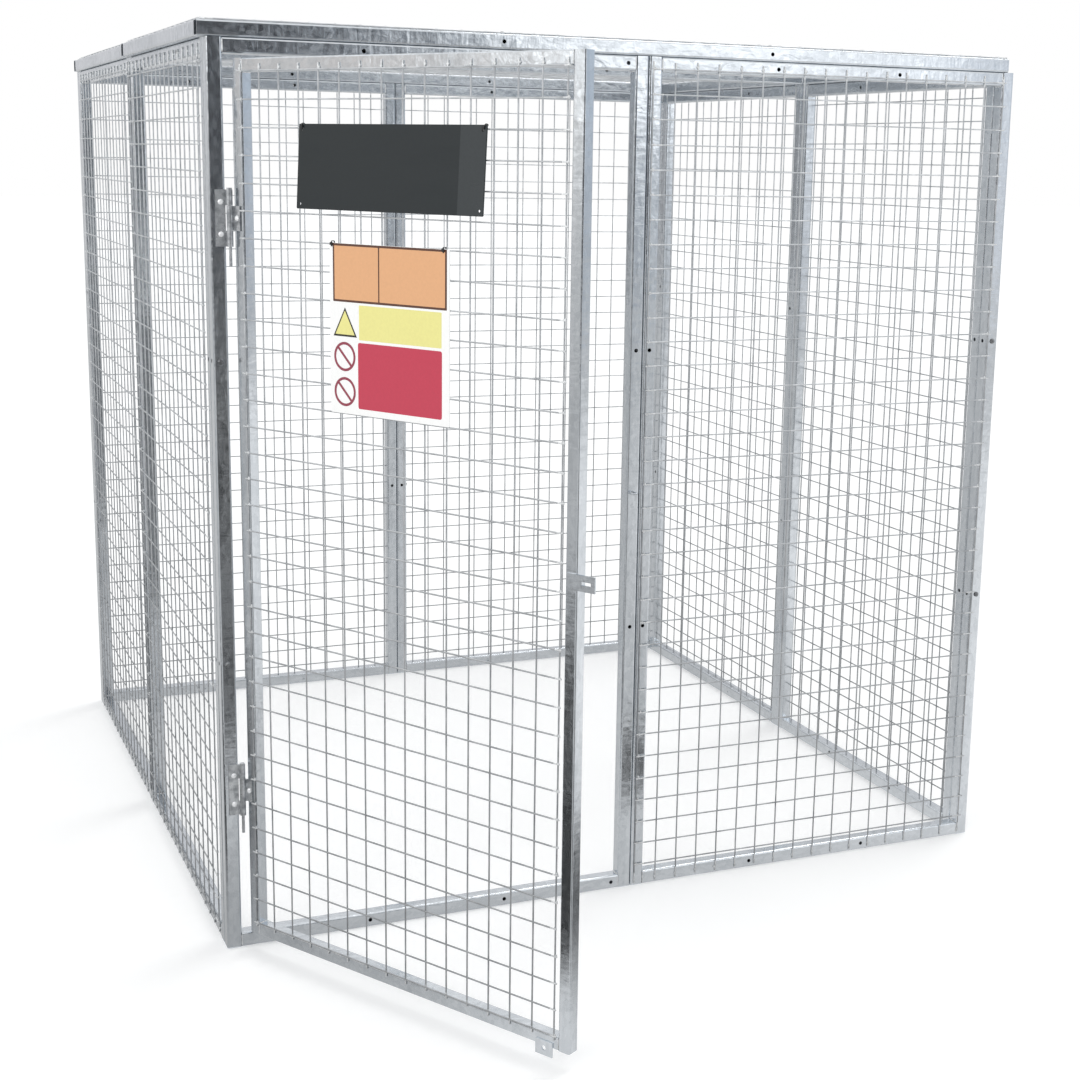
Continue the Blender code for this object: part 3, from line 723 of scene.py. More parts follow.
@dataclass(frozen=True)
class BrightZinc(Finish):
    """Zinc plate on bolts, pins and small plates: fine brushed grain with darker handling marks."""

    tone: Colour
    shade: Colour
    rough: Span
    metallic: float = 0.95

    def inputs(self, book: NodeBook) -> dict[str, object]:
        """Marks for the colour and the roughness, and a grain along the height."""
        marks = book.noise(book.place(), 75.0, 4.0, 0.6)
        grain = book.noise(book.place((900.0, 900.0, 90.0)), 1.0, 2.0, 0.5)
        return {
            "base_color": book.ramp(marks, ((0.34, self.shade), (0.58, self.tone))),
            "metallic": self.metallic,
            "roughness": book.spread(marks, (0.3, 0.7), self.rough[::-1]),
            "normal": book.bump(grain, 0.12, 0.0003),
        }


@dataclass(frozen=True)
class Vinyl(Finish):
    """Printed film on a board: one colour with faint mottle, a satin skin and a few dull wipe marks."""

    tone: Colour
    rough: float = 0.34
    mottle: float = 0.02

    def inputs(self, book: NodeBook) -> dict[str, object]:
        """Specks for the colour and the skin, and wipe marks for the roughness."""
        speck = book.noise(book.place(), 180.0, 3.0, 0.6)
        wipe = book.noise(book.place((6.0, 6.0, 22.0)), 1.0, 3.0, 0.6)
        low = tuple(c * (1.0 - self.mottle) for c in self.tone)
        high = tuple(min(1.0, c * (1.0 + self.mottle)) for c in self.tone)
        return {
            "base_color": book.ramp(speck, ((0.35, low), (0.65, high))),
            "roughness": book.spread(wipe, (0.3, 0.7), (self.rough - 0.05, self.rough + 0.10)),
            "normal": book.bump(speck, 0.06, 0.0003),
        }


@dataclass(frozen=True)
class MouldedNylon(Finish):
    """Black nylon of the cable ties."""

    tone: Colour = (0.014, 0.015, 0.016)

    def inputs(self, book: NodeBook) -> dict[str, object]:
        """Fine specks for the colour and the skin."""
        speck = book.noise(book.place(), 500.0, 2.0)
        high = tuple(c * 2.2 for c in self.tone)
        return {
            "base_color": book.ramp(speck, ((0.4, self.tone), (0.7, high))),
            "roughness": 0.42,
            "normal": book.bump(speck, 0.15, 0.0002),
        }


@dataclass(frozen=True)
class StudioFloor(Finish):
    """White paper that keeps the soft shadow, and is lifted a little to white for what looks at it."""

    tone: float = 0.88
    lift: float = 0.19

    def material(self) -> bpy.types.Material:
        """Builds the node tree: a matt shader, and a faint glow for camera, glossy and transmission rays.

        Returns:
            The material.
        """
        book = NodeBook(bpy.data.materials.new(self.name))
        paper = book.noise(book.place(), 35.0, 2.0)
        colour = book.ramp(paper, ((0.4, (self.tone * 0.998,) * 3), (0.6, (self.tone,) * 3)))
        matt = book.add("ShaderNodeBsdfPrincipled", base_color=colour, roughness=0.95)
        matt.inputs["Specular IOR Level"].default_value = 0.0
        glow = book.add("ShaderNodeEmission", strength=book.math("MULTIPLY", book.seen_rays(), self.lift))
        book.close(book.add("ShaderNodeAddShader", matt.outputs[0], glow.outputs[0]))
        return book.owner


@dataclass(frozen=True)
class GroundPatch:
    """A soft-edged oval on the reflected ground: its middle, its two half widths and its level."""

    middle: Span
    reach: Span
    level: float


@dataclass(frozen=True)
class StudioScreen(Finish):
    """The room's bright and dark parts, which the metal reflects.

    The lower and the upper wall have red, green and blue levels for each compass angle, in degrees from the front. The
    ground has one level with soft patches over it. heights are where the ground turns into the lower wall, and where
    that turns into the upper wall.
    """

    lower: tuple[Stop, ...] = (
        (-180, 0.70, 0.70, 0.71), (-165, 0.68, 0.68, 0.69), (-160, 0.40, 0.40, 0.41), (-157, 0.20, 0.20, 0.21),
        (-154, 0.20, 0.20, 0.21), (-150.5, 0.48, 0.49, 0.50), (-144, 0.60, 0.61, 0.62), (-104, 0.66, 0.65, 0.64),
        (-92, 0.70, 0.69, 0.68), (-76, 0.30, 0.30, 0.31), (-60, 0.12, 0.12, 0.13), (-30, 0.06, 0.06, 0.065),
        (-4, 0.04, 0.042, 0.048), (9, 0.04, 0.042, 0.048), (14, 0.19, 0.20, 0.22), (19, 0.38, 0.41, 0.45),
        (26, 0.42, 0.46, 0.51), (31, 0.76, 0.79, 0.83), (38, 0.80, 0.82, 0.86), (50, 0.58, 0.61, 0.66),
        (78, 0.54, 0.58, 0.64), (95, 0.58, 0.61, 0.65), (120, 0.62, 0.63, 0.64), (180, 0.70, 0.70, 0.71),
    )
    upper: tuple[Stop, ...] = (
        (-180, 0.72, 0.72, 0.74), (-165, 0.72, 0.72, 0.74), (-160, 0.44, 0.45, 0.47), (-157, 0.24, 0.25, 0.26),
        (-154, 0.26, 0.27, 0.28), (-150.5, 0.56, 0.57, 0.59), (-142, 0.80, 0.80, 0.81), (-110, 0.80, 0.76, 0.73),
        (-100, 0.70, 0.65, 0.62), (-95, 0.85, 0.82, 0.80), (-91, 1.70, 1.70, 1.68), (-82, 1.40, 1.40, 1.40),
        (-75, 0.40, 0.40, 0.41), (-60, 0.14, 0.14, 0.15), (-30, 0.07, 0.07, 0.075), (-4, 0.04, 0.042, 0.048),
        (9, 0.04, 0.042, 0.048), (13, 0.19, 0.205, 0.23), (17, 0.46, 0.50, 0.54), (19.5, 1.66, 1.67, 1.68),
        (33, 1.60, 1.61, 1.62), (36.5, 0.80, 0.85, 0.92), (44, 0.60, 0.64, 0.71), (78, 0.60, 0.68, 0.78),
        (96, 0.60, 0.66, 0.73), (120, 0.66, 0.67, 0.69), (180, 0.72, 0.72, 0.74),
    )
    heights: tuple[Span, Span] = ((0.05, 0.6), (1.5, 2.4))
    ground: float = 0.62
    patches: tuple[GroundPatch, ...] = (
        GroundPatch((5.0, -3.4), (5.2, 4.6), 1.0),
        GroundPatch((2.8, -1.0), (3.2, 2.4), 1.02),
        GroundPatch((-8.0, 0.0), (5.0, 4.0), 0.46),
        GroundPatch((-0.3, -6.6), (2.4, 6.0), 0.01),
        GroundPatch((1.3, -12.6), (2.6, 5.2), 0.01),
        GroundPatch((-2.4, -0.7), (2.1, 1.15), 0.02),
        GroundPatch((-1.5, -1.15), (0.8, 0.6), 0.0),
        GroundPatch((-0.5, -2.4), (0.62, 1.25), 0.06),
        GroundPatch((-0.5, -1.3), (0.50, 0.42), 0.80),
        GroundPatch((-1.08, -1.17), (0.36, 0.36), 0.0),
        GroundPatch((0.38, -1.3), (0.64, 0.42), 0.10),
    )

    def material(self) -> bpy.types.Material:
        """Builds the node tree: an emission that runs with the place on the ground, or atan2(x, -y) and the height.

        Returns:
            The material.
        """
        book = NodeBook(bpy.data.materials.new(self.name))
        where = book.place()
        x, y, z = book.add("ShaderNodeSeparateXYZ", where).outputs
        angle = book.math("ARCTAN2", x, book.math("MULTIPLY", y, -1.0))
        share = book.spread(angle, (-math.pi, math.pi), (0.0, 1.0))
        top = max(max(stop[1:]) for stop in self.lower + self.upper)
        lower, upper = (
            book.ramp(share, [((stop[0] + 180) / 360, tuple(level / top for level in stop[1:])) for stop in stops])
            for stops in (self.lower, self.upper)
        )
        colour: object = (self.ground / top,) * 3
        for patch in self.patches:
            colour = book.blend(self.weight(book, where, patch), colour, (patch.level / top,) * 3)
        foot, waist = (book.spread(z, height, (0.0, 1.0)) for height in self.heights)
        whole = book.blend(foot, colour, book.blend(waist, lower, upper))
        book.close(book.add("ShaderNodeEmission", color=whole, strength=top))
        book.owner.cycles.emission_sampling = "NONE"
        return book.owner

    def weight(self, book: NodeBook, where: Socket, patch: GroundPatch) -> Socket:
        """One in the middle of a patch, falling smoothly to nought at its edge.

        Args:
            book: the screen's node tree.
            where: the place on the screen.
            patch: the patch.

        Returns:
            The weight.
        """
        shift = book.vector("SUBTRACT", where, (*patch.middle, 0.0))
        scale = book.vector("DIVIDE", shift, (*patch.reach, 1.0))
        length = book.add("ShaderNodeVectorMath", scale, operation="LENGTH").outputs["Value"]
        return book.spread(length, (0.15, 1.0), (1.0, 0.0), "SMOOTHSTEP")


class Finishes:
    """Every material of the cage, built once."""

    def __init__(self) -> None:
        """Builds the materials."""
        self.tube_up = GalvanisedSteel("galvanised_tube_upright").material()
        self.tube_x = GalvanisedSteel("galvanised_tube_crosswise", 0).material()
        self.tube_y = GalvanisedSteel("galvanised_tube_deepwise", 1).material()
        self.plate = GalvanisedSteel("galvanised_plate", 2, 0.006).material()
        self.wire = DippedWire("galvanised_wire").material()
        self.weld = WeldZinc("zinc_over_weld").material()
        self.bolt = BrightZinc("zinc_plate_bolt", (0.30, 0.31, 0.32), (0.12, 0.12, 0.13), (0.34, 0.50)).material()
        self.hinge = BrightZinc(
            "zinc_plate_hinge", (0.70, 0.72, 0.74), (0.36, 0.38, 0.40), (0.26, 0.40), 0.8
        ).material()
        # Painted highlight: the hinge bolts get a near-white copy of the bolt zinc, far lighter than the other bolts'
        # zinc_plate_bolt.
        self.highlit_hinge_bolt = BrightZinc(
            "zinc_plate_hinge_bolt_painted_highlight", (0.95, 0.96, 0.97), (0.84, 0.85, 0.86), (0.26, 0.40), 0.35
        ).material()
        self.black = Vinyl("black_board_film", (0.010, 0.016, 0.019), 0.36, 0.05).material()
        # Painted sheen: a lighter grey film laid over the black plate's right end.
        self.margin = Vinyl("painted_sheen_film", (0.030, 0.037, 0.041), 0.30, 0.05).material()
        self.white = Vinyl("white_board_film", (0.93, 0.93, 0.92), 0.34, 0.015).material()
        self.orange = Vinyl("orange_field_film", (0.76, 0.41, 0.21)).material()
        self.brown = Vinyl("brown_line_film", (0.105, 0.045, 0.028)).material()
        self.yellow = Vinyl("yellow_field_film", (0.82, 0.77, 0.29)).material()
        self.red = Vinyl("red_field_film", (0.55, 0.048, 0.088)).material()
        self.maroon = Vinyl("maroon_line_film", (0.30, 0.055, 0.085)).material()
        self.ink = Vinyl("black_line_film", (0.03, 0.028, 0.02)).material()
        self.nylon = MouldedNylon("black_nylon").material()


def dress(piece: bpy.types.Object, material: bpy.types.Material) -> None:
    """Gives a piece one material in its first slot."""
    piece.data.materials.clear()
    piece.data.materials.append(material)


def soften(piece: bpy.types.Object) -> None:
    """Smooth shading with sharp edges kept, and flat faces held flat by weighted normals."""
    piece.data.set_sharp_from_angle(angle=SHARP_ANGLE)
    weighted = piece.modifiers.new("flat faces", "WEIGHTED_NORMAL")
    weighted.keep_sharp = True
    weighted.weight = 80


def cut(pieces: Sequence[bpy.types.Object], tools: Sequence[Surface]) -> None:
    """Cuts the same shapes out of every piece's mesh."""
    if not tools:
        return
    cutter = make_mesh("cutter", *joined(tools))
    for piece in pieces:
        holes = piece.modifiers.new("holes", "BOOLEAN")
        holes.object, holes.operation, holes.solver = cutter, "DIFFERENCE", "EXACT"
        done = bpy.data.meshes.new_from_object(piece.evaluated_get(bpy.context.evaluated_depsgraph_get()))
        old = piece.data
        piece.modifiers.clear()
        piece.data = done
        bpy.data.meshes.remove(old)
    bpy.data.objects.remove(cutter)


@dataclass(frozen=True)
class Seat:
    """Where pieces belong: the move from the places they are built in to the model's frame, and their body."""

    move: Matrix
    body: Body

    def take(self, piece: bpy.types.Object, slot: str, *nodes: str) -> None:
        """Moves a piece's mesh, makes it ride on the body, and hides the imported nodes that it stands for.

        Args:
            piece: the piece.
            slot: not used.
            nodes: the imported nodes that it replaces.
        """
        piece.data.transform(self.move)
        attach(piece, self.body.value)
        if nodes:
            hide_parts(*nodes)
        LOG.info("%s: %d faces", piece.name, len(piece.data.polygons))


# ---- Panels ----


@dataclass(frozen=True)
class Plane:
    """The axes of a flat panel: across it, along it and through it."""

    across: int
    along: int
    depth: int

    def points(self, u: object, v: object, w: object) -> Array:
        """Points from their places across, along and through the plane, as numbers or rows of numbers."""
        places = {self.across: u, self.along: v, self.depth: w}
        return stacked(*(places[axis] for axis in range(3)))


@dataclass(frozen=True)
class Member:
    """One length of tube: its two ends, the axis it runs along, and its holes through the frame and in its plane."""

    start: Array
    end: Array
    run: int
    holes: Sequence[float]
    side_holes: Sequence[float]


@dataclass(frozen=True)
class TubeFrame:
    """A welded frame of square tube in one plane: two full-height uprights with rails butted between them.

    low and high are the frame's corners in the plane's two directions, and level is the middle of its thickness.
    side_holes are the numbers of the members and the places of holes along the plane's own directions.
    """

    name: str
    plane: Plane
    low: Span
    high: Span
    level: float
    tube: float = SIZES.tube
    wall: float = SIZES.tube_wall
    corner: float = SIZES.tube_corner
    holes_up: tuple[float, ...] = ()
    holes_across: tuple[float, ...] = ()
    side_holes: tuple[tuple[int, float], ...] = ()

    def members(self) -> list[Member]:
        """The four lengths of tube: left and right uprights, low and high rails."""
        half = self.tube / 2
        (u0, v0), (u1, v1) = self.low, self.high
        rail = [u for u in self.holes_across if u0 + self.tube < u < u1 - self.tube]
        spans = [((u, v0), (u, v1)) for u in (u0 + half, u1 - half)]
        spans += [((u0 + self.tube, v), (u1 - self.tube, v)) for v in (v0 + half, v1 - half)]
        found = []
        for index, (start, end) in enumerate(spans):
            run, holes = (self.plane.along, self.holes_up) if index < 2 else (self.plane.across, rail)
            side_holes = [place for which, place in self.side_holes if which == index]
            tips = (self.plane.points(*tip, self.level) for tip in (start, end))
            found.append(Member(*tips, run, holes, side_holes))
        return found

    def pins(self, member: Member) -> list[Surface]:
        """Rods that cut a member's holes through both its walls."""
        found = []
        sideways = self.plane.across + self.plane.along - member.run
        for axis, spots in ((self.plane.depth, member.holes), (sideways, member.side_holes)):
            if len(spots):
                middles = np.repeat(member.start[None], len(spots), axis=0)
                middles[:, member.run] = spots
                found.append(pins_surface(middles, self.tube * np.eye(3)[axis], SIZES.hole_radius))
        return found

    def tubes(self, finishes: Finishes, name: str) -> bpy.types.Object:
        """Builds the tubes one by one, drills them, and joins them into one piece.

        Args:
            finishes: the materials.
            name: the piece's name.

        Returns:
            The frame, with one material for its uprights and one for its rails.
        """
        side = np.eye(3)[self.plane.depth]
        parts = []
        for member in self.members():
            shell = tube_surface(member.start, member.end, side, self.tube, self.corner, self.wall)
            parts.append(make_mesh("length", *shell))
            cut(parts[-1:], self.pins(member))
        points, loops, totals, slots, shift = [], [], [], [], 0
        for index, piece in enumerate(parts):
            mesh = piece.data
            points.append(read(mesh.vertices, "co", np.float32, 3).reshape(-1, 3))
            loops.append(read(mesh.loops, "vertex_index", np.int32) + shift)
            totals.append(read(mesh.polygons, "loop_total", np.int32))
            slots.append(np.full(len(mesh.polygons), index // 2, dtype=np.int32))
            shift += len(mesh.vertices)
            bpy.data.objects.remove(piece)
        frame = mesh_from_loops(name, *(np.concatenate(part) for part in (points, loops, totals)))
        kinds = (finishes.tube_x, finishes.tube_y, finishes.tube_up)
        for axis in (self.plane.along, self.plane.across):
            frame.data.materials.append(kinds[axis])
        frame.data.polygons.foreach_set("material_index", np.concatenate(slots))
        soften(frame)
        return frame

    def welds(self, finishes: Finishes) -> bpy.types.Object:
        """Weld beads at the four joints, on both faces and along the inner corner.

        P is a thin lumpy round section carried along each seam, whose radius wanders between four fifths and six
        fifths of the bead's.

        Args:
            finishes: the materials.

        Returns:
            The beads.
        """
        name = f"{self.name}_welds"
        rng = np.random.default_rng(SEED + len(name))
        (u0, v0), (u1, v1) = self.low, self.high
        radius, inset = self.tube * 0.048, self.corner * 0.6
        parts = []
        for u in (u0 + self.tube, u1 - self.tube):
            for v, inward in ((v0, 1.0), (v1, -1.0)):
                seam = (v + inward * inset, v + inward * (self.tube - inset))
                parts += [self.bead(u, seam, face, radius, rng) for face in (-1.0, 1.0)]
                parts.append(self.fillet(u, v + inward * self.tube, radius * 1.2, rng))
        piece = make_mesh(name, *joined(parts))
        dress(piece, finishes.weld)
        return piece

    def bead(self, u: float, seam: Span, face: float, radius: float, rng: np.random.Generator) -> Surface:
        """A bead along one seam on one face, thinner at its ends.

        Args:
            u: the seam's place across the frame.
            seam: its two ends along the frame.
            face: minus one for the front face and one for the back.
            radius: the bead's radius.
            rng: where its lumps come from.

        Returns:
            Points and faces.
        """
        stations = 15
        t = np.linspace(0.0, 1.0, stations)
        wander = rng.normal(0.0, radius * 0.12, stations)
        level = self.level + face * (self.tube / 2 - radius * 0.45)
        path = self.plane.points(u + wander, seam[0] + t * (seam[1] - seam[0]), level)
        swell = np.clip(np.sin(math.pi * t) * 3.0, 0.35, 1.0)
        return path_surface(path, radius * swell * rng.uniform(0.8, 1.2, stations))

    def fillet(self, u: float, v: float, radius: float, rng: np.random.Generator) -> Surface:
        """A bead through the thickness, in the inner corner of two tubes.

        Args:
            u: its place across the frame.
            v: its place along the frame.
            radius: the bead's radius.
            rng: where its lumps come from.

        Returns:
            Points and faces.
        """
        stations = 11
        levels = self.level + np.linspace(-1.0, 1.0, stations) * (self.tube / 2 - self.corner)
        return path_surface(self.plane.points(u, v, levels), radius * rng.uniform(0.85, 1.15, stations))


@dataclass(frozen=True)
class WeldMesh:
    """Weld mesh of two crossed layers of straight wire on one face of a frame.

    uprights and crosses are the places of the wires, upright_ends and cross_ends are where they stop, and face is the
    plane that the inner layer lies on, which looks along sign. seat is the length of wire that lies on the frame.
    """

    face: float
    sign: int
    uprights: Array
    crosses: Array
    upright_ends: Span
    cross_ends: Span
    seed: int
    seat: float = 0.024

    def layer(self, plane: Plane, upright: bool, height: float, rng: np.random.Generator) -> Surface:
        """One layer of parallel wires, each with a slight bow and a slightly uneven end.

        Args:
            plane: the panel's axes.
            upright: whether the wires are the upright ones.
            height: how far their middles stand off the frame.
            rng: where their bows and ends come from.

        Returns:
            Points and faces.
        """
        places, ends = (self.uprights, self.upright_ends) if upright else (self.crosses, self.cross_ends)
        count = len(places)
        tips = []
        for end in ends:
            step = places + rng.normal(0.0, SIZES.wire_shift, count)
            run = end + rng.normal(0.0, SIZES.wire_uneven, count)
            spots = (step, run) if upright else (run, step)
            tips.append(plane.points(*spots, self.face + self.sign * height))
        heights = [rng.normal(0.0, SIZES.wire_wave * share, count) for share in (1.0, 0.35)]
        bow = np.stack((*heights, rng.integers(1, 4, count).astype(float)), axis=-1)
        return rods_surface(*tips, SIZES.wire_radius, bow, WIRE_SIDES, WIRE_STATIONS, self.seat)

    def on_steel(self) -> Array:
        """For each face of the wires, whether it lies on the frame, where zinc has run over it."""
        face = np.arange(WIRE_SIDES * (WIRE_STATIONS + 1))
        ends = (face < WIRE_SIDES) | (face >= WIRE_SIDES * (WIRE_STATIONS - 2))
        return np.tile(ends, len(self.uprights) + len(self.crosses))

    def tacks(self, plane: Plane, rng: np.random.Generator) -> Surface:
        """Small lumps of zinc where the ends of the wires are welded to the frame.

        Args:
            plane: the panel's axes.
            rng: where their places and sizes come from.

        Returns:
            Points and faces.
        """
        level = self.face + self.sign * SIZES.wire_radius * 0.6
        ways = (1, -1)
        spots = [plane.points(end + way * 0.006, self.crosses, level) for end, way in zip(self.cross_ends, ways)]
        spots += [plane.points(self.uprights, end + way * 0.008, level) for end, way in zip(self.upright_ends, ways)]
        middles = np.concatenate(spots)
        middles += rng.normal(0.0, SIZES.tack_shift, middles.shape) * (np.arange(3) != plane.depth)
        radii = SIZES.tack_reach * rng.uniform(0.7, 1.35, middles.shape)
        radii[:, plane.depth] = SIZES.tack_height
        return blobs_surface(middles, radii)

    def build(self, plane: Plane, name: str, finishes: Finishes) -> bpy.types.Object:
        """Builds both layers and the welds at their ends.

        Args:
            plane: the panel's axes.
            name: the piece's name.
            finishes: the materials.

        Returns:
            The mesh as one piece.
        """
        rng = np.random.default_rng(self.seed)
        inner = self.layer(plane, True, SIZES.wire_radius * 0.98, rng)
        outer = self.layer(plane, False, SIZES.wire_radius * 2.75, rng)
        points, faces = joined([inner, outer, self.tacks(plane, rng)])
        piece = make_mesh(name, points, faces)
        piece.data.materials.append(finishes.wire)
        piece.data.materials.append(finishes.weld)
        zinc = np.ones(len(faces), dtype=np.int32)
        zinc[: len(inner[1]) + len(outer[1])] = self.on_steel()
        piece.data.polygons.foreach_set("material_index", zinc)
        return piece


def build_panel(seat: Seat, finishes: Finishes, frame: TubeFrame, node: str, mesh: WeldMesh | None = None) -> None:
    """Builds a panel's tubes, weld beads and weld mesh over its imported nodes.

    Args:
        seat: where the panel belongs.
        finishes: the materials.
        frame: the panel's frame.
        node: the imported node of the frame.
        mesh: the panel's weld mesh, if it has one.
    """
    seat.take(frame.tubes(finishes, f"{frame.name}_tubes"), TUBE_SLOT, node)
    seat.take(frame.welds(finishes), TUBE_SLOT)
    if mesh is not None:
        seat.take(mesh.build(frame.plane, f"{frame.name}_weld_mesh", finishes), MESH_SLOT, f"{frame.name}_mesh")


@dataclass(frozen=True)
class Panel:
    """A meshed wall panel: its name, its side, and its start and end along the wall.

    along moves its upright wires away from the joint with the next panel, and up moves its cross wires.
    """

    name: str
    side: Side
    start: float
    end: float
    along: float
    up: float

    @property
    def far(self) -> bool:
        """Whether the joint with the next panel is at its start."""
        return self.start > SIZES.middle - 0.01

    def measured(self, steps: Array) -> Array:
        """Places at these distances from the joint with the next panel."""
        return self.start + steps if self.far else self.end - steps

    def frame(self) -> TubeFrame:
        """The panel's frame, whose outer upright is also drilled for the next wall where it stands at a corner."""
        s = SIZES
        across, depth, sign = self.side.value
        corner_holes = tuple((int(self.far), z) for z in s.thirds) if across == 0 else ()
        return TubeFrame(
            self.name, Plane(across, 2, depth), (self.start, 0.0), (self.end, s.wall_height),
            self.outer - sign * s.tube / 2,
            holes_up=s.thirds, holes_across=tuple(self.measured(s.hole_step * np.array([1, 2]))),
            side_holes=corner_holes,
        )

    @property
    def outer(self) -> float:
        """Where the panel's outer face lies."""
        _, depth, sign = self.side.value
        return 0.0 if sign < 0 else (SIZES.width, SIZES.depth)[depth]

    def mesh(self, seed: int) -> WeldMesh:
        """The panel's weld mesh, measured from the joint with the next panel and from the ground."""
        s = SIZES
        first, low = s.first_upright + self.along, s.first_cross + self.up
        room, height = self.end - self.start - first - 0.010, s.wall_height - low - 0.004
        steps = np.arange(int(room // s.pitch) + 1) * s.pitch + first
        crosses = low + s.pitch * np.arange(int(height // s.pitch) + 1)
        ends = self.measured(np.array([s.first_upright - s.wire_end, steps[-1] + s.wire_end]))
        return WeldMesh(
            self.outer, self.side.value[2], self.measured(steps), crosses,
            (s.wire_end, s.wall_height - s.top_clear), tuple(sorted(ends)), seed,
        )


@dataclass(frozen=True)
class Walls:
    """The eight wall panels: the open door surround and seven meshed panels."""

    seat: Seat
    finishes: Finishes

    def panels(self) -> list[Panel]:
        """The meshed panels, in the order that they are built in."""
        s = SIZES
        before, behind = s.middle - s.panel_gap / 2, s.middle + s.panel_gap / 2
        inner = s.tube + s.panel_gap
        return [
            Panel("front_right", Side.FRONT, behind, s.width, -0.004, 0.0),
            Panel("back_left", Side.BACK, 0.0, before, 0.002, -0.001),
            Panel("back_right", Side.BACK, behind, s.width, -0.004, 0.0),
            Panel("left_front", Side.LEFT, inner, before, 0.0, -0.018),
            Panel("left_rear", Side.LEFT, behind, s.depth - inner, 0.0, -0.003),
            Panel("right_front", Side.RIGHT, inner, before, 0.020, -0.0288),
            Panel("right_rear", Side.RIGHT, behind, s.depth - inner, 0.0238, -0.004),
        ]

    def build(self) -> None:
        """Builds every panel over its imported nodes."""
        s = SIZES
        surround = TubeFrame(
            "door_surround", Plane(0, 2, 1), (0.0, 0.0), (s.middle - s.panel_gap / 2, s.wall_height), s.tube / 2,
            holes_up=s.thirds, holes_across=(s.hole_step, 2 * s.hole_step, s.last_hole),
            side_holes=tuple((0, z) for z in s.thirds),
        )
        build_panel(self.seat, self.finishes, surround, "door_surround")
        for index, panel in enumerate(self.panels()):
            build_panel(self.seat, self.finishes, panel.frame(), f"{panel.name}_frame", panel.mesh(SEED + index))


@dataclass(frozen=True)
class Roof:
    """The two roof sections, which lie on the walls a little to the left.

    first and last are how far the first wire lies from a section's left and front edges, and how near the last may lie
    to the right and back edges.
    """

    seat: Seat
    finishes: Finishes
    first: Span = (0.012, 0.005)
    last: Span = (0.004, 0.003)
    front_end: float = 0.024
    back_end: float = 0.003

    def build(self) -> None:
        """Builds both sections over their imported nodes."""
        s = SIZES
        for index, name in enumerate(("roof_front", "roof_rear")):
            shift = self.seat.move.translation
            (x0, y0, z0), (x1, y1, z1) = (np.array(spot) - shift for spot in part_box(f"{name}_frame"))
            third = (x1 - x0) / 3
            frame = TubeFrame(
                name, Plane(1, 0, 2), (y0, x0), (y1, x1), (z0 + z1) / 2,
                side_holes=tuple((k, x0 + third * n) for k in (0, 1) for n in (1, 2)),
            )
            runs = np.arange(x0 + self.first[0], x1 - self.last[0], s.pitch)
            steps = np.arange(y0 + self.first[1], y1 - self.last[1], s.pitch)
            mesh = WeldMesh(
                z1, 1, steps, runs, (x0 + s.wire_end, runs.max() + s.wire_end),
                (y0 + self.front_end, steps.max() + self.back_end), ROOF_SEED + index,
            )
            build_panel(self.seat, self.finishes, frame, f"{name}_frame", mesh)


# ---- Door ----


@dataclass(frozen=True)
class Door:
    """The door, built shut and then turned about its hinge line to where it stands open.

    Its mesh's wires stop foot_end above its foot, top_end below its top, hinge_end from its hinge edge and free_end
    past the last upright wire, and lie on the frame for wire_seat.
    """

    corner: Array
    finishes: Finishes
    rest_angle: float = 59.8
    hinge: Span = (0.036, -0.008)
    left: float = 0.042
    right: float = 0.8591
    bottom: float = 0.034
    top: float = 1.762
    tube: float = 0.025
    wall: float = 0.002
    tube_corner: float = 0.0032
    first_upright: float = 0.0213
    first_cross: float = 0.0280
    uprights: int = 16
    crosses: int = 34
    foot_end: float = 0.018
    top_end: float = 0.011
    hinge_end: float = 0.0165
    free_end: float = 0.0065
    wire_seat: float = 0.013

    @property
    def seat(self) -> Seat:
        """The move from the shut door in cage places to the open door in the model's frame, on the door's body."""
        hinge = Vector((*self.hinge, 0.0))
        spin = Matrix.Rotation(math.radians(-self.rest_angle), 4, "Z")
        return Seat(Matrix.Translation(Vector(self.corner) + hinge) @ spin @ Matrix.Translation(-hinge), Body.DOOR)

    def build(self) -> None:
        """Builds the door's frame, welds and mesh."""
        frame = TubeFrame(
            "door", Plane(0, 2, 1), (self.left, self.bottom), (self.right, self.top), self.tube / 2, self.tube,
            self.wall, self.tube_corner,
        )
        uprights = self.left + self.first_upright + SIZES.pitch * np.arange(self.uprights)
        crosses = self.bottom + self.first_cross + SIZES.pitch * np.arange(self.crosses)
        mesh = WeldMesh(
            0.0, -1, uprights, crosses, (self.bottom + self.foot_end, self.top - self.top_end),
            (self.left + self.hinge_end, uprights.max() + self.free_end), DOOR_SEED, self.wire_seat,
        )
        build_panel(self.seat, self.finishes, frame, "door_frame", mesh)


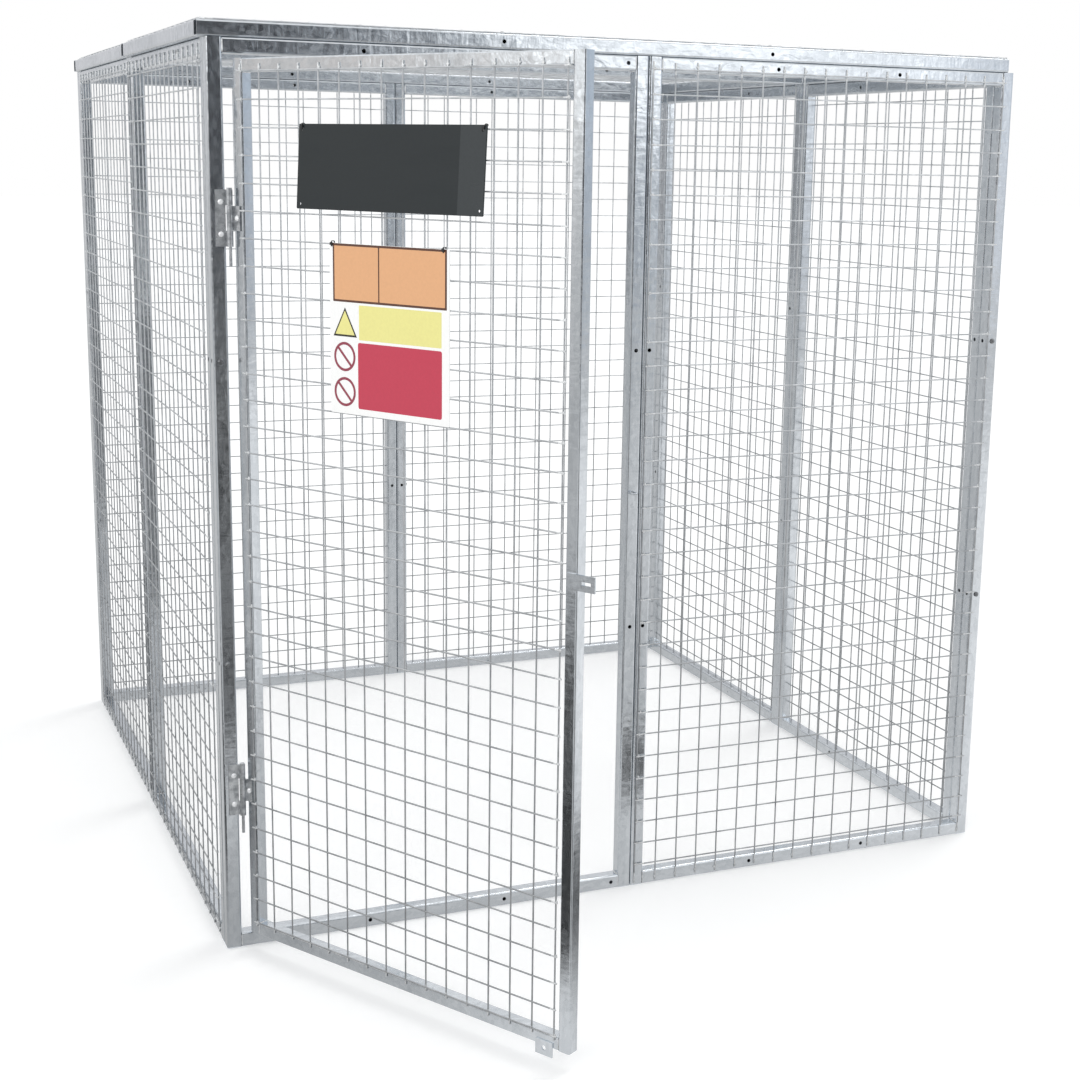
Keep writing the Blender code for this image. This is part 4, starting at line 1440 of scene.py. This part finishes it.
@dataclass(frozen=True)
class Boards:
    """The blank black plate and the hazard board of plain colours, with the cable ties that hold them.

    Places on the door are a distance s from its hinge edge, a depth y as in the cage, and a height z.
    """

    door: Door
    finishes: Finishes
    thickness: float = 0.002
    mesh_front: float = -0.0061
    plate_s: Span = (0.182, 0.622)
    plate_z: Span = (1.494, 1.644)
    # Where the painted sheen on the plate's right end begins.
    sheen_start: float = 0.5645
    plate_lean: float = 0.010
    hole_inset: float = 0.009
    hole_radius: float = 0.0025
    board_s: Span = (0.254, 0.540)
    board_z: Span = (1.130, 1.436)
    film: float = 0.00022

    @property
    def front(self) -> float:
        """The depth of the boards' front."""
        return self.mesh_front - self.thickness

    def build(self) -> None:
        """Builds both boards and their ties."""
        self.name_plate()
        self.hazard_board()

    def slab(self, s: Span, y: Span, z: Span, corner: float, rim: float, steps: int = 4) -> Surface:
        """A flat board between these places on the door."""
        low, high = (np.array([self.door.left + s[k], y[k], z[k]]) for k in (0, 1))
        return slab_surface(low, high, corner, rim, steps)

    def fix(self, piece: bpy.types.Object, material: bpy.types.Material, slot: str, *nodes: str) -> None:
        """Dresses a piece and seats it on the door."""
        dress(piece, material)
        self.door.seat.take(piece, slot, *nodes)

    def leaned(self, name: str, surface: Surface) -> bpy.types.Object:
        """A piece of the plate leaned out below: a point moves forward by the lean times its share of the way down."""
        points, faces = surface
        bottom, top = self.plate_z
        points[:, 1] -= self.plate_lean * (top - points[:, 2]) / (top - bottom)
        return make_mesh(name, points, faces)

    def name_plate(self) -> None:
        """The black plate, which hangs by a tie in each upper corner and leans out below, with a lighter strip on its
        right end that is a painted sheen.
        """
        (s0, s1), (z0, z1), front, inset = self.plate_s, self.plate_z, self.front, self.hole_inset
        body = self.slab(self.plate_s, (front, self.mesh_front), self.plate_z, 0.0025, 0.0005)
        plate = self.leaned("blank_black_plate", body)
        edge = 0.001
        depths = (front - 0.0002, front + 0.0004)
        # Painted sheen: a lighter film over the plate's right end.
        body = self.slab((self.sheen_start, s1 - edge), depths, (z0 + edge, z1 - edge), 0.0012, 0.0001)
        margin = self.leaned("black_plate_painted_sheen", body)
        spots = [(s0 + inset, z0 + inset), (s0 + inset, z1 - inset), (s1 - inset, z0 + inset), (s1 - inset, z1 - inset)]
        middles = np.array([[self.door.left + s, front, z] for s, z in spots])
        cut((plate, margin), [pins_surface(middles, np.array([0.0, 0.02, 0.0]), self.hole_radius)])
        soften(plate)
        self.fix(plate, self.finishes.black, "black_board", "name_plate")
        soften(margin)
        self.fix(margin, self.finishes.margin, "black_board")
        for name, s, slant in (("left", s0 + inset, -0.002), ("right", s1 - inset - 0.002, 0.008)):
            self.tie(f"cable_tie_{name}", s, (z1 - inset - 0.001, z1 + 0.001), slant, f"name_plate_tie_{name}")

    def tie(self, name: str, s: float, heights: Span, slant: float, *nodes: str) -> None:
        """A cable tie through a board's corner and round the mesh: a flat loop with its head in front.

        P(a) = (s + slant h, y + b c(a), z + e d(a)), with c and d the signed square roots of cosine and sine, b and e
        half the loop's depth and height, and h the share of its height; the head is a small block of rounded slab.

        Args:
            name: the piece's name.
            s: where the loop's foot is.
            heights: the loop's lowest and highest points.
            slant: how far the loop's top is from its foot.
            nodes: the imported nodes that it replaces.
        """
        low, high = heights
        near, far = self.front - 0.0012, -0.0018
        a = np.linspace(0.0, 2 * math.pi, 33)[:-1]
        c, d = (np.sign(wave) * np.abs(wave) ** 0.5 for wave in (np.cos(a), np.sin(a)))
        path = stacked(
            self.door.left + s + slant * (1 + d) / 2,
            (near + far) / 2 + (far - near) / 2 * c,
            (low + high) / 2 + (high - low) / 2 * d,
        )
        width = np.array([[-1.25, -0.5], [1.25, -0.5], [1.25, 0.5], [-1.25, 0.5]]) * 0.001
        tangent = unit(np.roll(path, -1, axis=0) - np.roll(path, 1, axis=0))
        across = unit(np.array([1.0, 0.0, -slant / (high - low)]))
        outward = np.cross(tangent, across)
        body = path[:, None] + width[None, :, :1] * across + width[None, :, 1:] * outward[:, None]
        band = closed_loop(*body.shape[:2])
        mid, height = s + slant * 0.5, (low + high) / 2
        depths = (self.front - 0.0036, self.front - 0.0004)
        head = self.slab((mid - 0.0025, mid + 0.0025), depths, (height - 0.0026, height + 0.0026), 0.0006, 0.0004, 2)
        piece = make_mesh(name, *joined([(body.reshape(-1, 3), band), head]), smooth=False)
        self.fix(piece, self.finishes.nylon, "black_nylon", *nodes)

    def field(
        self, name: str, s: Span, z: Span, layer: int, material: bpy.types.Material, corner: float = 0.0012
    ) -> None:
        """A thin field of film on the board.

        Args:
            name: the piece's name.
            s: its two ends across the door.
            z: its two heights.
            layer: how many films thick it stands.
            material: its colour.
            corner: its corner radius.
        """
        piece = make_mesh(name, *self.slab(s, (self.front - self.film * layer, self.front + 0.0004), z, corner, 0.0001))
        soften(piece)
        self.fix(piece, material, "white_board")

    def ring(self, name: str, s: float, z: float, radius: float = 0.0265, band: float = 0.0048) -> None:
        """A flat ring of film: the annulus between two circles, with a slight thickness and a slanted bar across it.

        Args:
            name: the piece's name.
            s: its middle across the door.
            z: its middle's height.
            radius: its outer radius.
            band: the width of the ring and of the bar.
        """
        x = self.door.left + s
        inner, fore, aft = radius - band, -0.00025, 0.0001
        a = np.arange(48) * 2 * math.pi / 48
        profile = np.array([[inner, aft], [inner, fore], [radius, fore], [radius, aft]])
        radii = profile[:, :1]
        body = stacked(x + radii * np.cos(a), self.front + profile[:, 1:], z + radii * np.sin(a))
        low = np.array([-inner, self.front + fore, -band / 2])
        high = np.array([inner, self.front + aft, band / 2])
        bar, bar_faces = slab_surface(low, high, 0.0002, 0.0001, 1)
        cosine, sine = math.cos(math.radians(-45)), math.sin(math.radians(-45))
        along, up = bar[:, 0].copy(), bar[:, 2].copy()
        bar[:, 0] = x + along * cosine - up * sine
        bar[:, 2] = z + along * sine + up * cosine
        loop = closed_loop(len(profile), len(a), True)
        piece = make_mesh(name, *joined([(body.reshape(-1, 3), loop), (bar, bar_faces)]), smooth=False)
        self.fix(piece, self.finishes.maroon, "white_board")

    def triangle(
        self, name: str, apex: Span, base: float, half: float, layer: int, material: bpy.types.Material
    ) -> None:
        """A flat triangle of film with a slight thickness.

        Args:
            name: the piece's name.
            apex: its top's place across the door and height.
            base: its foot's height.
            half: half the length of its foot.
            layer: how many films thick it stands.
            material: its colour.
        """
        corners = np.array([[apex[0] - half, base], [apex[0] + half, base], apex])
        depths = np.array([[self.front - self.film * layer], [self.front + 0.0002]])
        points = stacked(self.door.left + corners[:, 0], depths, corners[:, 1])
        faces = np.array([[0, 1, 2, 2], [4, 3, 5, 5], [1, 0, 3, 4], [2, 1, 4, 5], [0, 2, 5, 3]])
        self.fix(make_mesh(name, points.reshape(-1, 3), faces, smooth=False), material, "white_board")

    def hazard_board(self) -> None:
        """The white board and its fields of colour."""
        f = self.finishes
        body = self.slab(self.board_s, (self.front, self.mesh_front), self.board_z, 0.003, 0.0004)
        board = make_mesh("white_board_plate", *body)
        soften(board)
        self.fix(board, f.white, "white_board", "hazard_board")
        self.field("board_brown_border", (0.2625, 0.534), (1.332, 1.4355), 1, f.brown)
        self.field("board_orange_left", (0.2665, 0.3735), (1.336, 1.4315), 2, f.orange)
        self.field("board_orange_right", (0.3765, 0.530), (1.336, 1.4315), 2, f.orange)
        self.field("board_yellow_bar", (0.326, 0.522), (1.266, 1.328), 1, f.yellow)
        self.field("board_red_panel", (0.323, 0.523), (1.1417, 1.261), 1, f.red, 0.004)
        self.triangle("board_triangle_edge", (0.2915, 1.322), 1.270, 0.029, 1, f.ink)
        self.triangle("board_triangle", (0.2915, 1.3165), 1.2735, 0.0238, 2, f.yellow)
        self.ring("board_ring_high", 0.290, 1.2337)
        self.ring("board_ring_low", 0.290, 1.170)
        self.tie("board_tie_left", 0.2605, (1.4295, 1.4395), 0.0)
        self.tie("board_tie_right", 0.5265, (1.4295, 1.4395), 0.0)


@dataclass(frozen=True)
class Fittings:
    """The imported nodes: bolts, hinges, pins, the lock and the stop tab stay, and every one gets its finish."""

    nodes: dict[str, bpy.types.Object]
    finishes: Finishes

    def finish(self, name: str) -> bpy.types.Material:
        """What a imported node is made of, by the first rule that fits its name."""
        f = self.finishes
        rules = (
            ("bolt" in name and name.startswith("hinge"), f.highlit_hinge_bolt),
            ("bolt" in name, f.bolt),
            ("leaf" in name or name.endswith("_pin"), f.hinge),
            (name in ("door_hasp", "door_stop_tab", "lock_staple"), f.plate),
            (name.endswith("_mesh"), f.wire),
            (name == "name_plate", f.black),
            ("_tie_" in name, f.nylon),
            (name == "hazard_board", f.white),
            (True, f.tube_up),
        )
        return next(material for fits, material in rules if fits)

    def build(self) -> None:
        """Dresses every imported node."""
        for name, node in self.nodes.items():
            dress(node, self.finish(name))


# ---- Studio ----


@dataclass(frozen=True)
class Studio:
    """The floor, the light and the camera."""

    corner: Array
    camera_spot: Spot = (-0.6609, -3.3636, 1.5891)
    yaw: float = 23.809
    pitch: float = 11.486
    roll: float = 1.157
    focal: float = 1762.9
    centre: Span = (606.0, 519.3)
    sky_level: float = 0.88
    sun_level: float = 0.55
    sun_way: Spot = (-0.55, -0.28, -1.0)
    panel_watts: float = 60.0
    panel_size: float = 3.0
    panel_spot: Spot = (-5.0, -3.6, 3.4)
    panel_target: Spot = (-0.5, -0.6, 0.9)
    floor_reach: float = 60.0
    screen_profile: tuple[Span, ...] = (
        (0.0, 0.0015), (3.0, 0.003), (8.0, 0.006), (13.4, 0.01), (13.9, 0.4), (14.0, 2.5), (14.0, 6.5),
    )

    def add(self, name: str, data: bpy.types.ID) -> bpy.types.Object:
        """Links a camera or a lamp to the scene."""
        made = bpy.data.objects.new(name, data)
        bpy.context.scene.collection.objects.link(made)
        return made

    def camera(self) -> None:
        """Sets the camera where the photograph was taken: yaw to the right of +Y, pitch down, roll about its line."""
        data = bpy.data.cameras.new("photo_camera")
        camera = self.add("photo_camera", data)
        yaw, pitch, roll = (math.radians(a) for a in (self.yaw, self.pitch, self.roll))
        ahead = Vector((math.sin(yaw) * math.cos(pitch), math.cos(yaw) * math.cos(pitch), -math.sin(pitch)))
        right = Vector((math.cos(yaw), -math.sin(yaw), 0.0))
        up = right.cross(ahead)
        right_rolled = math.cos(roll) * right + math.sin(roll) * up
        up_rolled = -math.sin(roll) * right + math.cos(roll) * up
        turned = Matrix((right_rolled, up_rolled, -ahead)).transposed().to_4x4()
        camera.matrix_world = Matrix.Translation(Vector(self.corner) + Vector(self.camera_spot)) @ turned
        data.sensor_width = 36.0
        data.lens = self.focal / PHOTO_SIDE * data.sensor_width
        data.shift_x = (PHOTO_SIDE / 2 - self.centre[0]) / PHOTO_SIDE
        data.shift_y = (self.centre[1] - PHOTO_SIDE / 2) / PHOTO_SIDE
        data.clip_start, data.clip_end = 0.05, 200.0
        bpy.context.scene.camera = camera

    def floor(self) -> None:
        """A wide flat floor at the cage's foot."""
        square = np.array([[-1.0, -1.0, 0.0], [1.0, -1.0, 0.0], [1.0, 1.0, 0.0], [-1.0, 1.0, 0.0]])
        piece = make_mesh("studio_floor", square * self.floor_reach, np.array([[0, 1, 2, 3]]), False)
        dress(piece, StudioFloor("studio_floor").material())

    def screen(self) -> None:
        """The room, which only the metal's reflections see.

        A profile turned about the middle of the cage: out along the ground, then up as a wall.
        P(i, j) = (r_i sin a_j, -r_i cos a_j, z_i), so that a is the compass angle that the levels run with.
        """
        profile = np.array(self.screen_profile)
        a = np.arange(96) * 2 * math.pi / 96
        radii = profile[:, :1]
        body = stacked(radii * np.sin(a), -radii * np.cos(a), profile[:, 1:])
        piece = make_mesh("studio_screen", body.reshape(-1, 3), grid_faces(len(profile), len(a), True))
        dress(piece, StudioScreen("studio_screen").material())
        piece.visible_camera = piece.visible_diffuse = piece.visible_shadow = False

    def sky(self) -> None:
        """White all round to the camera, to reflections and through glass, and a plain soft light on everything."""
        world = bpy.data.worlds.new("studio")
        bpy.context.scene.world = world
        book = NodeBook(world)
        light = book.add("ShaderNodeBackground", (0.985, 0.995, 1.0), self.sky_level)
        white = book.add("ShaderNodeBackground", WHITE, 1.0)
        book.close(book.add("ShaderNodeMixShader", book.seen_rays(), light.outputs[0], white.outputs[0]))

    def lamps(self) -> None:
        """A soft sun from the right and behind for the shadow, and a broad panel that lights the open door's face."""
        sun = bpy.data.lights.new("soft_sun", "SUN")
        sun.angle = math.radians(22)
        sun.energy = self.sun_level
        self.add("soft_sun", sun).rotation_euler = Vector(self.sun_way).to_track_quat("-Z", "Y").to_euler()
        panel = bpy.data.lights.new("left_panel", "AREA")
        panel.size = self.panel_size
        panel.energy = self.panel_watts
        lamp = self.add("left_panel", panel)
        lamp.location = self.panel_spot
        way = Vector(self.panel_target) - Vector(self.panel_spot)
        lamp.rotation_euler = way.to_track_quat("-Z", "Y").to_euler()

    def build(self) -> None:
        """Sets up the view, the floor and the light."""
        self.camera()
        self.floor()
        self.screen()
        self.sky()
        self.lamps()
        bpy.context.scene.view_settings.view_transform = "Standard"


def main() -> None:
    """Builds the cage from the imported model."""
    logging.basicConfig(level=logging.INFO, format="%(message)s")
    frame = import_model()
    surround_low = np.array(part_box("door_surround")[0])
    corner = np.array([surround_low[0], surround_low[1], 0.0])
    finishes = Finishes()
    Fittings(frame["nodes"], finishes).build()
    cage = Seat(Matrix.Translation(Vector(corner)), Body.CAGE)
    Walls(cage, finishes).build()
    Roof(cage, finishes).build()
    door = Door(corner, finishes)
    door.build()
    Boards(door, finishes).build()
    Studio(corner).build()


if __name__ == "__main__":
    main()
